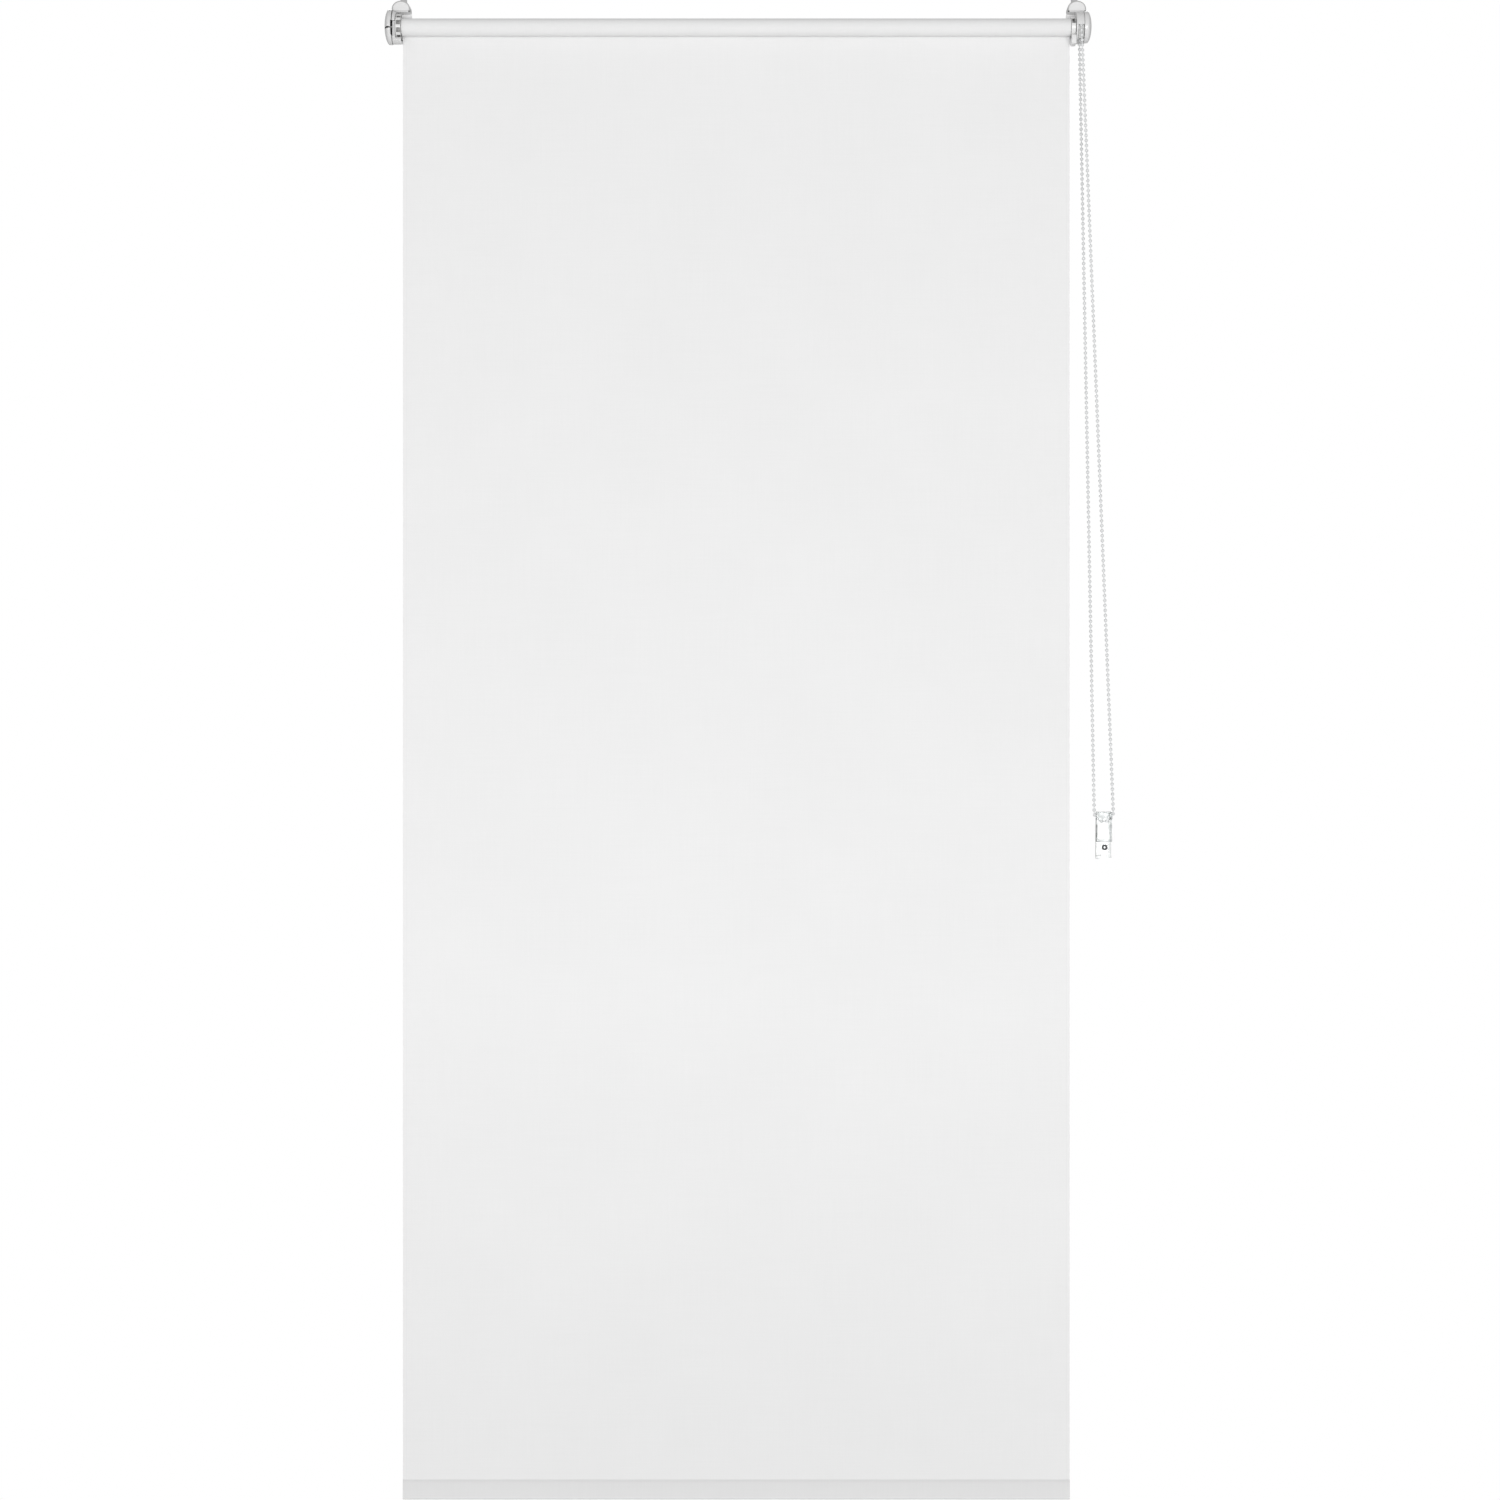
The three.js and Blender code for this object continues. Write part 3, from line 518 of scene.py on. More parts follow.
def cloth(name, tone, edge_line=0.0):
    """Coated polyester: a plain weave under a thin coating. edge_line darkens a thin line along each cut
    edge."""
    material, g, inputs = new_material(name, Sheen_Weight=0.12, Sheen_Roughness=0.5)
    weave = g.group(PLAIN_WEAVE, {})
    shade = g.plus(g.remap(weave["Cloud"], 0.0, 1.0, 0.985, 1.0), g.times(weave["Thread"], 0.03))
    if edge_line:
        off = g.math("ABSOLUTE", g.minus(g.math("ABSOLUTE", g.axes(g.place())["X"]), edge_line * MM))
        shade = g.minus(shade, g.remap(off, 0.0, 0.0006, 0.035, 0.0))
    rough = g.remap(weave["Height"], 0.0, 1.0, 0.9, 0.72)
    surfaced(g, inputs, g.shaded(tone, shade), rough, weave["Height"], 0.05, 0.5)
    return material


def paint_nose_shade(g, colour):
    """Paints shade on a clamp's arm. Two small dark spots low on its front stand for the shade in small
    holes, and its sides and top behind its front face, above the underside, are painted greyer as shade."""
    place = g.axes(g.place())
    shade_spots = []
    for x in (middle + side for middle in CLAMPS.values() for side in (-SHADE_SPOT_X, SHADE_SPOT_X)):
        off = g.squares(g.minus(place["X"], x * MM), g.minus(place["Z"], SHADE_SPOT_Z * MM))
        shade_spots.append(g.remap(g.math("SQRT", off), 0.0007, 0.0011, 1.0, 0.0))
    near = g.remap(place["Y"], -0.0155, -0.0145, 1.0, 0.0)
    side = g.remap(place["Y"], -0.0179, -0.0174, 0.0, 1.0)
    above = g.remap(place["Z"], (UNDERSIDE + 0.8) * MM, (UNDERSIDE + 2.0) * MM, 0.0, 1.0)
    colour = g.mix(g.times(side, above), colour, solid(0.58))
    any_shade_spot = g.math("MAXIMUM", g.math("MAXIMUM", *shade_spots[:2]), g.math("MAXIMUM", *shade_spots[2:]))
    return g.mix(g.times(any_shade_spot, near), colour, solid(0.12))


def from_axis(g, place):
    """Distance from the roller's axis, in metres."""
    return g.math("SQRT", g.squares(g.minus(place["Y"], AXIS_Y * MM), place["Z"]))


def paint_recess_shade(depth):
    """Makes the extra for a ring whose recesses are darkened with painted shade nearer the axis than a depth
    in millimetres."""
    def extra(g, colour):
        deep = g.remap(from_axis(g, g.axes(g.place())), (depth - 0.15) * MM, (depth + 0.15) * MM, 0.7, 0.0)
        return g.mix(deep, colour, solid(0.3, 0.3, 0.295))
    return extra


def paint_inside_shade(radius, shoulder, apex):
    """Makes the extra for a domed cover whose inside is painted near-black as shade: a place is inside where
    the ellipse of the dome, through it, is smaller than the outside's."""
    def extra(g, colour):
        place = g.axes(g.place())
        along = g.remap(place["X"], shoulder * MM, apex * MM, 0.0, 1.0)
        size = g.squares(along, g.math("DIVIDE", from_axis(g, place), radius * MM))
        return g.mix(g.remap(size, 0.88, 0.96, 1.0, 0.0), colour, solid(0.03))
    return extra


def clear_plastic(name):
    """Clear polycarbonate: a cool tint, faint flow lines and rubbed edges."""
    material, g, inputs = new_material(
        name, Transmission_Weight=0.94, IOR=1.49, Specular_IOR_Level=0.2, Metallic=0.0
    )
    flow = g.noise(g.place(), 140.0, 3.0, 0.5)
    tone = g.mix(g.remap(flow, 0.3, 0.7), solid(0.82, 0.835, 0.835), solid(0.87, 0.88, 0.88))
    mask = g.group(EDGE_WEAR, {"Amount": 0.5})["Mask"]
    rough = g.plus(g.remap(flow, 0.3, 0.7, 0.03, 0.08), g.times(mask, 0.2))
    surfaced(g, inputs, g.mix(mask, tone, solid(0.5, 0.53, 0.53)), rough, flow, 0.02)
    return material


# The clamp plastic paints shade on the arm's sides and top, and two dark spots of shade on its front.
CLAMP_PLASTIC = plastic("clamp_plastic", solid(0.82), 0.42, extra=paint_nose_shade)
BRACKET_PLASTIC = plastic("bracket_plastic", solid(0.8), 0.44)
COVER_PLASTIC = plastic("cover_plastic", solid(0.77), 0.3, relief=0.006, Coat_Weight=0.15)
# The idle cover's inside is painted dark as shade.
IDLE_COVER_PLASTIC = plastic(
    "idle_cover_plastic", solid(0.77), 0.3, relief=0.006, Coat_Weight=0.15,
    extra=paint_inside_shade(IDLE_DOME["radius"], IDLE_DOME["shoulder"], IDLE_DOME["apex"]),
)
RUNNING = {"relief": 0.008, "dust": 0.1}
RUNNING_PLASTIC = plastic("running_plastic", solid(0.88, 0.88, 0.875), 0.34, **RUNNING)
# The ring and the collar get painted shade in their recesses, nearer the axis.
RING_PLASTIC = plastic("ring_plastic", solid(0.8, 0.8, 0.795), 0.34, extra=paint_recess_shade(12.1), **RUNNING)
COLLAR_PLASTIC = plastic("collar_plastic", solid(0.86, 0.86, 0.855), 0.25, extra=paint_recess_shade(9.4), **RUNNING)
BEAD_PLASTIC = plastic("bead_plastic", solid(0.78, 0.79, 0.795), 0.3, relief=0.004, dust=0.12, wear=0.2)
GRIP_RUBBER = plastic("grip_rubber", solid(0.07, 0.072, 0.075), 0.82, grain=1400.0, relief=0.05, wear=0.6)
SHEET_CLOTH = cloth("sheet_cloth", solid(0.86), edge_line=327.2)
ROLL_CLOTH = cloth("roll_cloth", solid(0.84))
# The hem's cloth is the sheet's cloth with a darker tone: painted shade on the turned hem.
SHADED_HEM_CLOTH = cloth("shaded_hem_cloth", solid(0.79))
TUBE_METAL = metal("tube_aluminium", solid(0.7, 0.71, 0.72), 0.3)
BAR_METAL = metal("bar_steel", solid(0.5, 0.51, 0.52), 0.42)
WIRE_METAL = metal("bright_steel", solid(0.6, 0.61, 0.62), 0.22, lines=9000.0)
CLEAR_PLASTIC = clear_plastic("clear_polycarbonate")

SLOTS = {
    "white_plastic": (CLAMP_PLASTIC, BRACKET_PLASTIC),
    "cover_plastic": (COVER_PLASTIC, IDLE_COVER_PLASTIC),
    "running_plastic": (RUNNING_PLASTIC, RING_PLASTIC, COLLAR_PLASTIC),
    "bead_chain": (BEAD_PLASTIC,),
    "grip_pad": (GRIP_RUBBER,),
    "blind_cloth": (SHEET_CLOTH, ROLL_CLOTH, SHADED_HEM_CLOTH),
    "tube_aluminium": (TUBE_METAL,),
    "bar_steel": (BAR_METAL,),
    "bright_steel": (WIRE_METAL,),
    "clear_plastic": (CLEAR_PLASTIC,),
}

# ---- Meshes and pieces ----


def piece(name, bodies, material, body, *stands_for, crease=35, bevel=0.0, bevel_angle=42):
    """One object from closed bodies, smooth except across edges sharper than the crease angle. It rides
    on a body and stands for the nodes named. bevel, in millimetres, rounds a moulding's hard edges."""
    starts = np.cumsum([0] + [len(points) for points, _ in bodies])
    points = np.vstack([points for points, _ in bodies]) * MM
    faces = [(np.asarray(face) + start).tolist() for (_, fs), start in zip(bodies, starts) for face in fs]
    mesh = bpy.data.meshes.new(name)
    mesh.from_pydata(points, [], faces)
    mesh.polygons.foreach_set("use_smooth", np.ones(len(mesh.polygons), bool))
    mesh.set_sharp_from_angle(angle=math.radians(crease))
    mesh.update()
    mesh.materials.append(material)
    made = linked(name, mesh)
    if bevel:
        modifier = made.modifiers.new("moulded edges", "BEVEL")
        modifier.width = bevel * MM
        modifier.segments = 2
        modifier.limit_method = "ANGLE"
        modifier.angle_limit = math.radians(bevel_angle)
        modifier.use_clamp_overlap = True
    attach(made, body)
    if stands_for:
        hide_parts(*stands_for)
    next(slot for slot, finishes in SLOTS.items() if material in finishes)
    return made


def cloth_map(made, along):
    """Lays the weave on a piece of cloth: U is X, and V is a length found from the other two places."""
    mesh = made.data
    places = np.empty(len(mesh.vertices) * 3)
    mesh.vertices.foreach_get("co", places)
    places = places.reshape(-1, 3)
    corners = np.empty(len(mesh.loops), int)
    mesh.loops.foreach_get("vertex_index", corners)
    flat = np.stack([places[:, 0], along(places)], 1)[corners]
    mesh.uv_layers.new(name="weave").data.foreach_set("uv", flat.ravel())
    return made


# ---- Bead chain, first because its route is fixed ----


def chain_path(count):
    """Points at even steps along the endless loop, which starts in front of the wheel's axis: straight
    down to the bottom turn, half a circle round it, straight up the back, and half a circle over the
    wheel. Each part is a function of its own share of the length."""
    x, y, z = LOOP_END
    top_front, top_back = (np.array([WHEEL_X, AXIS_Y + way * CHAIN_WHEEL_RADIUS, 0.0]) for way in (-1, 1))
    low_front, low_back = (np.array([x + way * LOOP_RADIUS, y, z]) for way in (1, -1))
    down_length, up_length = np.linalg.norm(low_front - top_front), np.linalg.norm(top_back - low_back)
    ends = np.cumsum([down_length, math.pi * LOOP_RADIUS, up_length, math.pi * CHAIN_WHEEL_RADIUS])
    s = np.linspace(0, ends[-1], count, endpoint=False)[:, None]
    down = top_front + (low_front - top_front) * s / ends[0]
    turn = (s - ends[0]) / LOOP_RADIUS
    bottom = np.hstack([x + LOOP_RADIUS * np.cos(turn), np.full_like(s, y), z - LOOP_RADIUS * np.sin(turn)])
    up = low_back + (top_back - low_back) * (s - ends[1]) / up_length
    wrap = (s - ends[2]) / CHAIN_WHEEL_RADIUS
    over = CHAIN_WHEEL_RADIUS * np.hstack([0 * s, np.cos(wrap), np.sin(wrap)]) + (WHEEL_X, AXIS_Y, 0)
    part = np.searchsorted(ends, s[:, 0], side="right")[:, None]
    return np.select([part == 0, part == 1, part == 2], [down, bottom, up], over), ends[-1]


def bead_string(places, radius, sides=9, bands=6):
    """One small ball, half a circle turned about its upright axis, repeated at every place by adding
    whole arrays."""
    lat = np.linspace(0, math.pi, bands + 1)
    ball, ball_faces = revolved(np.stack([-np.cos(lat), np.sin(lat)], 1) * radius, (0, 0, 0), "z", sides)
    step = (np.arange(len(places)) * len(ball))[:, None, None]
    faces = []
    for size in (3, 4):
        alike = np.array([face for face in ball_faces if len(face) == size])
        faces += (alike + step).reshape(-1, size).tolist()
    return (places[:, None] + ball).reshape(-1, 3), faces


bead_places, chain_length = chain_path(BEADS)
core_path, _ = chain_path(2 * BEADS)
chain = piece(
    "bead_chain", [bead_string(bead_places, BEAD_RADIUS), swept(core_path[:-2], CORE_RADIUS, 6)],
    BEAD_PLASTIC, "root", "chain_wheel_wrap", "chain_front_strand", "chain_bottom_turn", "chain_back_strand",
    crease=80,
)

# ---- Cloth: sheet, roll and hem ----


def two_sided(middle, lean):
    """A closed body from the cloth's middle surface: two grids half a thickness to either side of it.
    lean is the angle, for each row, by which the cloth's face is turned up from facing back."""
    normal = np.concatenate([0 * lean, np.cos(lean), np.sin(lean)], 1)[:, None]
    front, back = middle - normal * CLOTH_THICKNESS / 2, middle + normal * CLOTH_THICKNESS / 2
    return lofted(np.concatenate([front, back[:, ::-1]], 1))


STILL_FROM = 0.87  # the share of the drop below which the cloth is flat


def hanging_sheet(columns=56, rows=180):
    """Down the drop the cloth hangs straight, with a slow swell that is a sum of products of sines and
    dies out at the roll and above the hem, and a little curl along the two cut edges."""
    u = np.linspace(-1, 1, columns)[None, :]
    drop = np.linspace(0, 1, rows)[:, None]
    hold = np.sin(math.pi * np.clip(drop / STILL_FROM, 0, 1)) ** 1.2
    slow = 0.3 * np.sin(5.1 * u + 1.3) * np.sin(4.2 * drop + 0.6 * u)
    quick = 0.18 * np.sin(11.0 * u) * np.sin(9.0 * drop)
    curl = 0.3 * np.exp(-((1 - np.abs(u)) * 26)) * np.sin(7.0 * drop)
    x, y, z = HALF_CLOTH * u + 0 * drop, CLOTH_Y + hold * (slow + quick + curl), -CLOTH_DROP * drop + 0 * u
    return two_sided(np.stack([x, y, z], -1), 0 * drop)


def cloth_turn(columns=56, rows=13):
    """Above the axis the cloth is an arc on the back of the roll, whose radius falls by a straight line
    so that its end sinks into the turn below."""
    u = np.linspace(-1, 1, columns)[None, :]
    wrap = np.linspace(math.radians(75), 0, rows)[:, None]
    radius = -AXIS_Y + CLOTH_Y - 0.55 * wrap / wrap[0]
    y, z = AXIS_Y + radius * np.cos(wrap), radius * np.sin(wrap)
    return two_sided(np.stack([HALF_CLOTH * u + 0 * wrap, y + 0 * u, z + 0 * u], -1), wrap)


sheet = piece("hanging_sheet", [hanging_sheet()], SHEET_CLOTH, "root", "hanging_fabric", crease=60)
cloth_map(sheet, lambda p: p[:, 2])
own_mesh(sheet)
turn = piece("cloth_turn", [cloth_turn()], SHEET_CLOTH, "root", crease=60)
cloth_map(turn, lambda p: p[:, 2])


def wound(angle, along, radius):
    """The outer turn climbs by one thickness in a whole turn, and ends in a step at the back."""
    outer = radius > TUBE_RADIUS + 0.3
    share = np.mod(angle + 0.35, 2 * math.pi) / (2 * math.pi)
    return along, np.where(outer, radius - 0.36 * (1 - share), radius)


roll_end = [(0, 8.35), (0.15, 8.4), (0.15, 8.5), (0, 8.55), (0, ROLL_RADIUS)]
roll_section = [(-HALF_CLOTH, TUBE_RADIUS + 0.1), (HALF_CLOTH, TUBE_RADIUS + 0.1)]
roll_section += [(HALF_CLOTH - dip, radius) for dip, radius in roll_end]
roll_section += [(-HALF_CLOTH + dip, radius) for dip, radius in reversed(roll_end)]
roll_body = revolved(roll_section, sides=128, ring=True, reshape=wound)
roll = piece("cloth_roll", [roll_body], ROLL_CLOTH, "roller", "fabric_roll")
cloth_map(roll, lambda p: np.arctan2(p[:, 2], p[:, 1] - AXIS_Y * MM) * ROLL_RADIUS * MM)


def hem_strip(thickness=0.45):
    """A strip's outline: its middle line drops in front of the bar, turns under it, climbs behind it
    and ends as a flap welded to the back of the sheet, and the outline runs down one side of the strip
    and back up the other."""
    half = HEM_HALF_DEPTH - thickness / 2
    bend = np.linspace(math.pi, 2 * math.pi, 15)
    under = np.stack([half * np.cos(bend), HEM_BOTTOM + HEM_HALF_DEPTH + half * np.sin(bend)], 1)
    front = [(0, HEM_TOP + 0.3), (-0.35, HEM_TOP - 0.1), (-1.2, HEM_TOP - 1.1), (-half, HEM_TOP - 2.9)]
    back = [(half, HEM_TOP - 2.9), (1.35, HEM_TOP - 1.1), (0.62, HEM_TOP + 0.3), (0.45, HEM_TOP + 4.2)]
    line = np.vstack([front, under, back]) + (CLOTH_Y, 0)
    ahead = np.gradient(line, axis=0)
    ahead /= np.linalg.norm(ahead, axis=1, keepdims=True)
    side = np.stack([-ahead[:, 1], ahead[:, 0]], 1) * thickness / 2
    return np.vstack([line + side, (line - side)[::-1]])


def hem_body(columns=90):
    """The strip carried along X, with a slow ripple in depth that fades at the weld."""
    y, z = hem_strip().T[:, None]
    x = np.linspace(-HALF_CLOTH, HALF_CLOTH, columns)[:, None]
    ripple = 0.12 * np.clip((HEM_TOP - z) / 8, 0, 1) * np.sin(0.021 * x + 0.4) * np.sin(0.057 * x)
    return lofted(np.stack([x + 0 * ripple, y + ripple, z + 0 * ripple], -1))


hem = piece("hem_sleeve", [hem_body()], SHADED_HEM_CLOTH, "bottom_bar", "hem_pocket", crease=50)
cloth_map(hem, lambda p: p[:, 2] + p[:, 1])

bar = cuboid((-HALF_BAR, -14.1, -1455.7), (HALF_BAR, -11.5, -1440.6), corner=1.2, edge=0.5, axis="x")
piece("hem_bar", [bar], BAR_METAL, "bottom_bar", "weight_bar")
piece("tube", [washer(-330.3, 330.3, 7.2, TUBE_RADIUS, 0.15)], TUBE_METAL, "roller", "roller_tube")

# ---- Sash clamps ----


def arch(half_width, height, base, bottom, corner):
    """A closed outline in (x, z) with a fixed number of points: half an ellipse from right to left, a
    side, a rounded corner, the flat underside, a corner and a side. Points fall on the screw slot's
    and the neck slot's edges, so that their cells can be left out."""
    edge = math.acos(min(SCREW_SLOT["half_width"] / half_width, 0.9))
    spans = (np.linspace(0, edge, 13), np.linspace(edge, math.pi - edge, 7)[1:-1])
    t = np.concatenate([*spans, np.linspace(math.pi - edge, math.pi, 13)])
    top = np.stack([half_width * np.cos(t), base + height * np.sin(t)], 1)
    c = np.linspace(0, math.pi / 2, 6)
    flat, low = half_width - corner, bottom + corner
    left = np.stack([-flat - corner * np.cos(c), low - corner * np.sin(c)], 1)
    right = np.stack([flat + corner * np.sin(c), low - corner * np.cos(c)], 1)
    half = min(NECK_SLOT["half_width"], 0.8 * flat)
    under = np.stack([(-half, 0.0, half), np.full(3, bottom)], 1)
    return np.vstack([top, left, under, right])


def clamp_arm(x):
    """A hollow arm in one wall: a chamfered arch for its nose, then a narrower arch back over the sash.
    Its inside is a square channel, and the cells of the screw slot and of the neck slot are left out."""
    wide, high, base, chamfer = (NOSE[key] for key in ("half_width", "height", "base", "chamfer"))
    channel = arch(CHANNEL["half_width"], 0.6, CHANNEL["top"] - 0.6, CHANNEL["bottom"], 0.25)
    middle = np.array([[0.0, 20.3]])
    face = arch(wide - chamfer, high - chamfer, base, UNDERSIDE + chamfer, 0.4)
    rows = [(middle + (face - middle) * share, NOSE["front"], share) for share in (0.0, 0.5, 0.95)]
    for dip, rise in ((1.0, 0.0), (0.16, 0.84), (0.04, 0.96), (0.0, 1.2)):
        dip, rise = dip * chamfer, rise * chamfer
        ring = arch(wide - dip, high - dip, base, UNDERSIDE + dip, max(2.2 - dip, 0.5))
        rows.append((ring, NOSE["front"] + rise, 1.0))
    nose = arch(wide, high, base, UNDERSIDE, 2.2)
    rows += [(nose, y, 1.0) for y in (-12.0, CHANNEL["front"], NOSE["back"] - 0.5, NOSE["back"])]
    arm = arch(ARM["half_width"], ARM["height"], ARM["base"], UNDERSIDE, 0.8)
    stops = (NOSE["back"], SCREW_SLOT["front"], NECK_SLOT["front"], SCREW_SLOT["back"], 30.0, ARM["back"])
    rows += [(arm, y, 1.0) for y in stops]
    outer = np.array([placed(outline, y, "y") for outline, y, _ in rows])
    inner = np.array([
        placed(middle + (channel - middle) * share, max(y, CHANNEL["front"]), "y") for _, y, share in rows
    ])
    keep = np.ones((len(rows) - 1, outer.shape[1]), bool)
    start = len(rows) - len(stops)
    keep[start + 1:start + 3, 12:18] = False
    keep[start + 2:, 37:39] = False
    return walled(outer + (x, 0, 0), inner + (x, 0, 0), keep)


KNOB_TOP = LOCK_BASE + KNOB_HEIGHT
RIB_PITCH = 1.5


def knurled(angle, along, radius):
    """Straight ribs: the radius falls by a rectified cosine on the knob's side only. A coin slot is
    pressed across the knob's top."""
    side = (radius > KNOB_RADIUS - 0.3) & (along < KNOB_TOP - 0.8) & (along > LOCK_BASE + 1.2)
    radius = radius - side * 0.28 * np.abs(np.cos(12 * angle)) ** 3
    slot = (along > KNOB_TOP - 0.05) & (np.abs(radius * np.sin(angle)) < 0.55)
    return along - 0.9 * slot, radius


def locking_screw(x):
    """A knob on a plain shank, turned about its own upright axis."""
    top, base, r = KNOB_TOP, LOCK_BASE, KNOB_RADIUS
    turn = np.linspace(0, math.pi / 2, 5)
    rim = np.stack([top - 1.0 + 0.9 * np.sin(turn), r - 0.9 + 0.9 * np.cos(turn)], 1)
    profile = [(18.6, 0), (18.6, 1.2), (18.9, 1.5), (base, 1.5), (base, r - 0.3), (base + 0.3, r)]
    profile += [(base + 1.2, r), (base + 1.4, r), (top - 1.1, r), *rim]
    profile += [(top - 0.02, share * r) for share in (0.7, 0.6, 0.45, 0.3, 0.16, 0.0)]
    return revolved(profile, (x, LOCK_Y, 0), "z", reshape=knurled)


def ribbed_pad(x, half_width, depths, rib_depths, heights, margin):
    """A thin rubber slab with upright ribs every 1.5 mm, which stand proud of its front and end a
    margin short of its top and bottom."""
    def bar(middle, half, depth, short, corner, edge):
        low = (middle - half, depth[0], heights[0] + short)
        return cuboid(low, (middle + half, depth[1], heights[1] - short), corner, edge)

    reach = half_width - RIB_PITCH
    ribs = np.arange(-reach, reach + 0.5, RIB_PITCH) + x
    bars = [bar(at, 0.55, rib_depths, margin, 0.3, 0.25) for at in ribs]
    return [bar(x, half_width, depths, 0, 0.8, 0.2), *bars]


for side, x in CLAMPS.items():
    plate = cuboid((x - 9.4, -4, -12.4), (x + 9.4, -1, 17.4), corner=1.6, edge=0.5)
    piece(f"{side}_clamp_arm", [clamp_arm(x), plate], CLAMP_PLASTIC, "root", f"{side}_clamp_hook", bevel=0.2)
    pad = ribbed_pad(x, 9, (-0.7, -0.2), (-0.8, -0.02), (-12, 15), 0.8)
    piece(f"{side}_sash_pad", pad, GRIP_RUBBER, "root", f"{side}_front_pad")
    leg = cuboid((x - 8.5, 19.8, -6.5), (x + 8.5, 22.8, 15.9), corner=2.0, edge=0.6)
    neck = cuboid((x - 1.6, 19.8, 14.9), (x + 1.6, 22.8, 19), 0.4, 0.3)
    gusset = slab(rounded([(22.6, -3), (22.6, 15.7), (24.4, 15.7)], 0.4), x - 0.9, x + 0.9, "x", 0.3)
    rail = rounded([(3, 18.2), (3, 21.8), (23.5, 21.8), (23.5, 18.2)], 0.5)
    rails = [slab(rail, x + low, x + high, "x", 0.3) for low, high in ((-3.4, -1.8), (1.8, 3.4))]
    spans = ((3.1, 8.1), (11.9, 23.4))
    bridges = [cuboid((x - 3.2, low, 18.3), (x + 3.2, high, 21.7), 0.4, 0.3) for low, high in spans]
    jaw_body = f"{side}_jaw"
    piece(jaw_body, [leg, neck, gusset, *rails, *bridges], CLAMP_PLASTIC, jaw_body, f"{side}_clamp_jaw")
    grip = ribbed_pad(x, 7.5, (18.4, 19.5), (18.02, 19.0), (-5.5, 13), 0.7)
    piece(f"{side}_jaw_grip", grip, GRIP_RUBBER, jaw_body, f"{side}_jaw_pad")
    piece(f"{side}_knob", [locking_screw(x)], CLAMP_PLASTIC, f"{side}_screw", f"{side}_locking_screw")

# ---- Domed covers ----


def cover_grids(apex, shoulder, rim, radius, slit=(0.0, 0.0), columns=144):
    """Outside and inside of a domed cup on the roller's axis, as rows from the pole to the rim's edge,
    and the middle of each cell. The dome is a quarter ellipse with a small shoulder. Columns are angles
    from straight ahead, and the first pair on either side stays on a slit's low and high Z at every
    radius past its end."""
    side = math.copysign(1, apex)
    t = np.linspace(0, math.pi / 2, 22)
    dome = np.stack([shoulder + (apex - shoulder) * np.cos(t), radius * np.sin(t)], 1)
    outside = np.vstack([dome, np.stack([np.linspace(shoulder, rim, 9)[1:], np.full(8, radius)], 1)])
    wall = COVER_WALL * np.linspace(1, 0, len(outside)) ** 0.3
    inside = np.stack([outside[:, 0] - side * wall, outside[:, 1] * (radius - COVER_WALL) / radius], 1)
    phi = (np.arange(columns) + 0.5) * 2 * math.pi / columns - math.pi
    first = math.pi / columns
    share = (np.abs(phi)[None] - first) / (math.pi - first)
    grids = []
    for profile in (outside, inside):
        r = np.maximum(profile[:, 1:], 0.0)
        low, high = (np.arcsin(np.clip(z / np.maximum(r, 5.5), -1, 1)) for z in slit)
        if slit[0] == slit[1]:
            low, high = np.full_like(r, -first), np.full_like(r, first)
        a = np.where(phi[None] > 0, high + share * (math.pi - high), low - share * (math.pi + low))
        x = np.broadcast_to(profile[:, :1], a.shape)
        grids.append(np.stack([x, AXIS_Y - r * np.cos(a), r * np.sin(a)], -1))
    near = (grids[0][:-1] + grids[0][1:]) / 2
    return *grids, np.moveaxis((near + np.roll(near, -1, 1)) / 2, -1, 0)


outer, inner, (x, y, z) = cover_grids(**IDLE_DOME, slit=(ENTRY_Z - 0.8, ENTRY_Z + 0.8))
slit = (np.abs(z - ENTRY_Z) < 0.5) & (y < -28)
notch = (np.abs(z - ENTRY_Z) < 7) & (y < -31) & (x > -340.6)
arm_room = (z > 15.6) & (y > -18.4) & (x > -341.2)
tooth = cuboid((-343.6, -39.4, -2.3), (-341.8, -36.2, -0.1), 0.5, 0.4, "x")
cup = walled(outer, inner, ~(slit | notch | arm_room))
bevels = {"crease": 30, "bevel": 0.25, "bevel_angle": 50}
piece("idle_cap", [cup, tooth], IDLE_COVER_PLASTIC, "root", "idle_cover", **bevels)

outer, inner, (x, y, z) = cover_grids(**DRIVE_DOME)
cheek_room = (np.abs(z) < 9.4) & (y > -14.4) & (x < 345.6)
arm_room = (z > 15.2) & (y > -18.6) & (x < 346.0)
cup = walled(outer, inner, ~(cheek_room | arm_room))
piece("drive_cap", [cup], COVER_PLASTIC, "root", "drive_cover", **bevels)

# ---- Idle end ----

idle_end = [
    slab(open_disc(15.6, ENTRY_Z - 7.2, ENTRY_Z + 7.2, -30.6), IDLE_FACE, -336.4, "x", 0.3),
    washer(-337.9, -336.2, 2.9, 7.5),
    slab(sector(13.4, 16.8, -140, -58, 0.5), IDLE_FACE, -330.9, "x", 0.4),
    cuboid((IDLE_FACE, -7, -12.4), (-331.1, -4.3, 12), 1.0, 0.4),
    cuboid((IDLE_FACE, -14, -9), (-337.6, -4.3, 9), 1.5, 0.3, "x"),
    slab(rounded([(-7.2, -8.5), (-7.2, 8), (-9.5, 6), (-9.5, -6.5)], 0.5), -335.6, -334.4, "x", 0.25),
]
piece("idle_end_plate", idle_end, BRACKET_PLASTIC, "root", "idle_bracket")


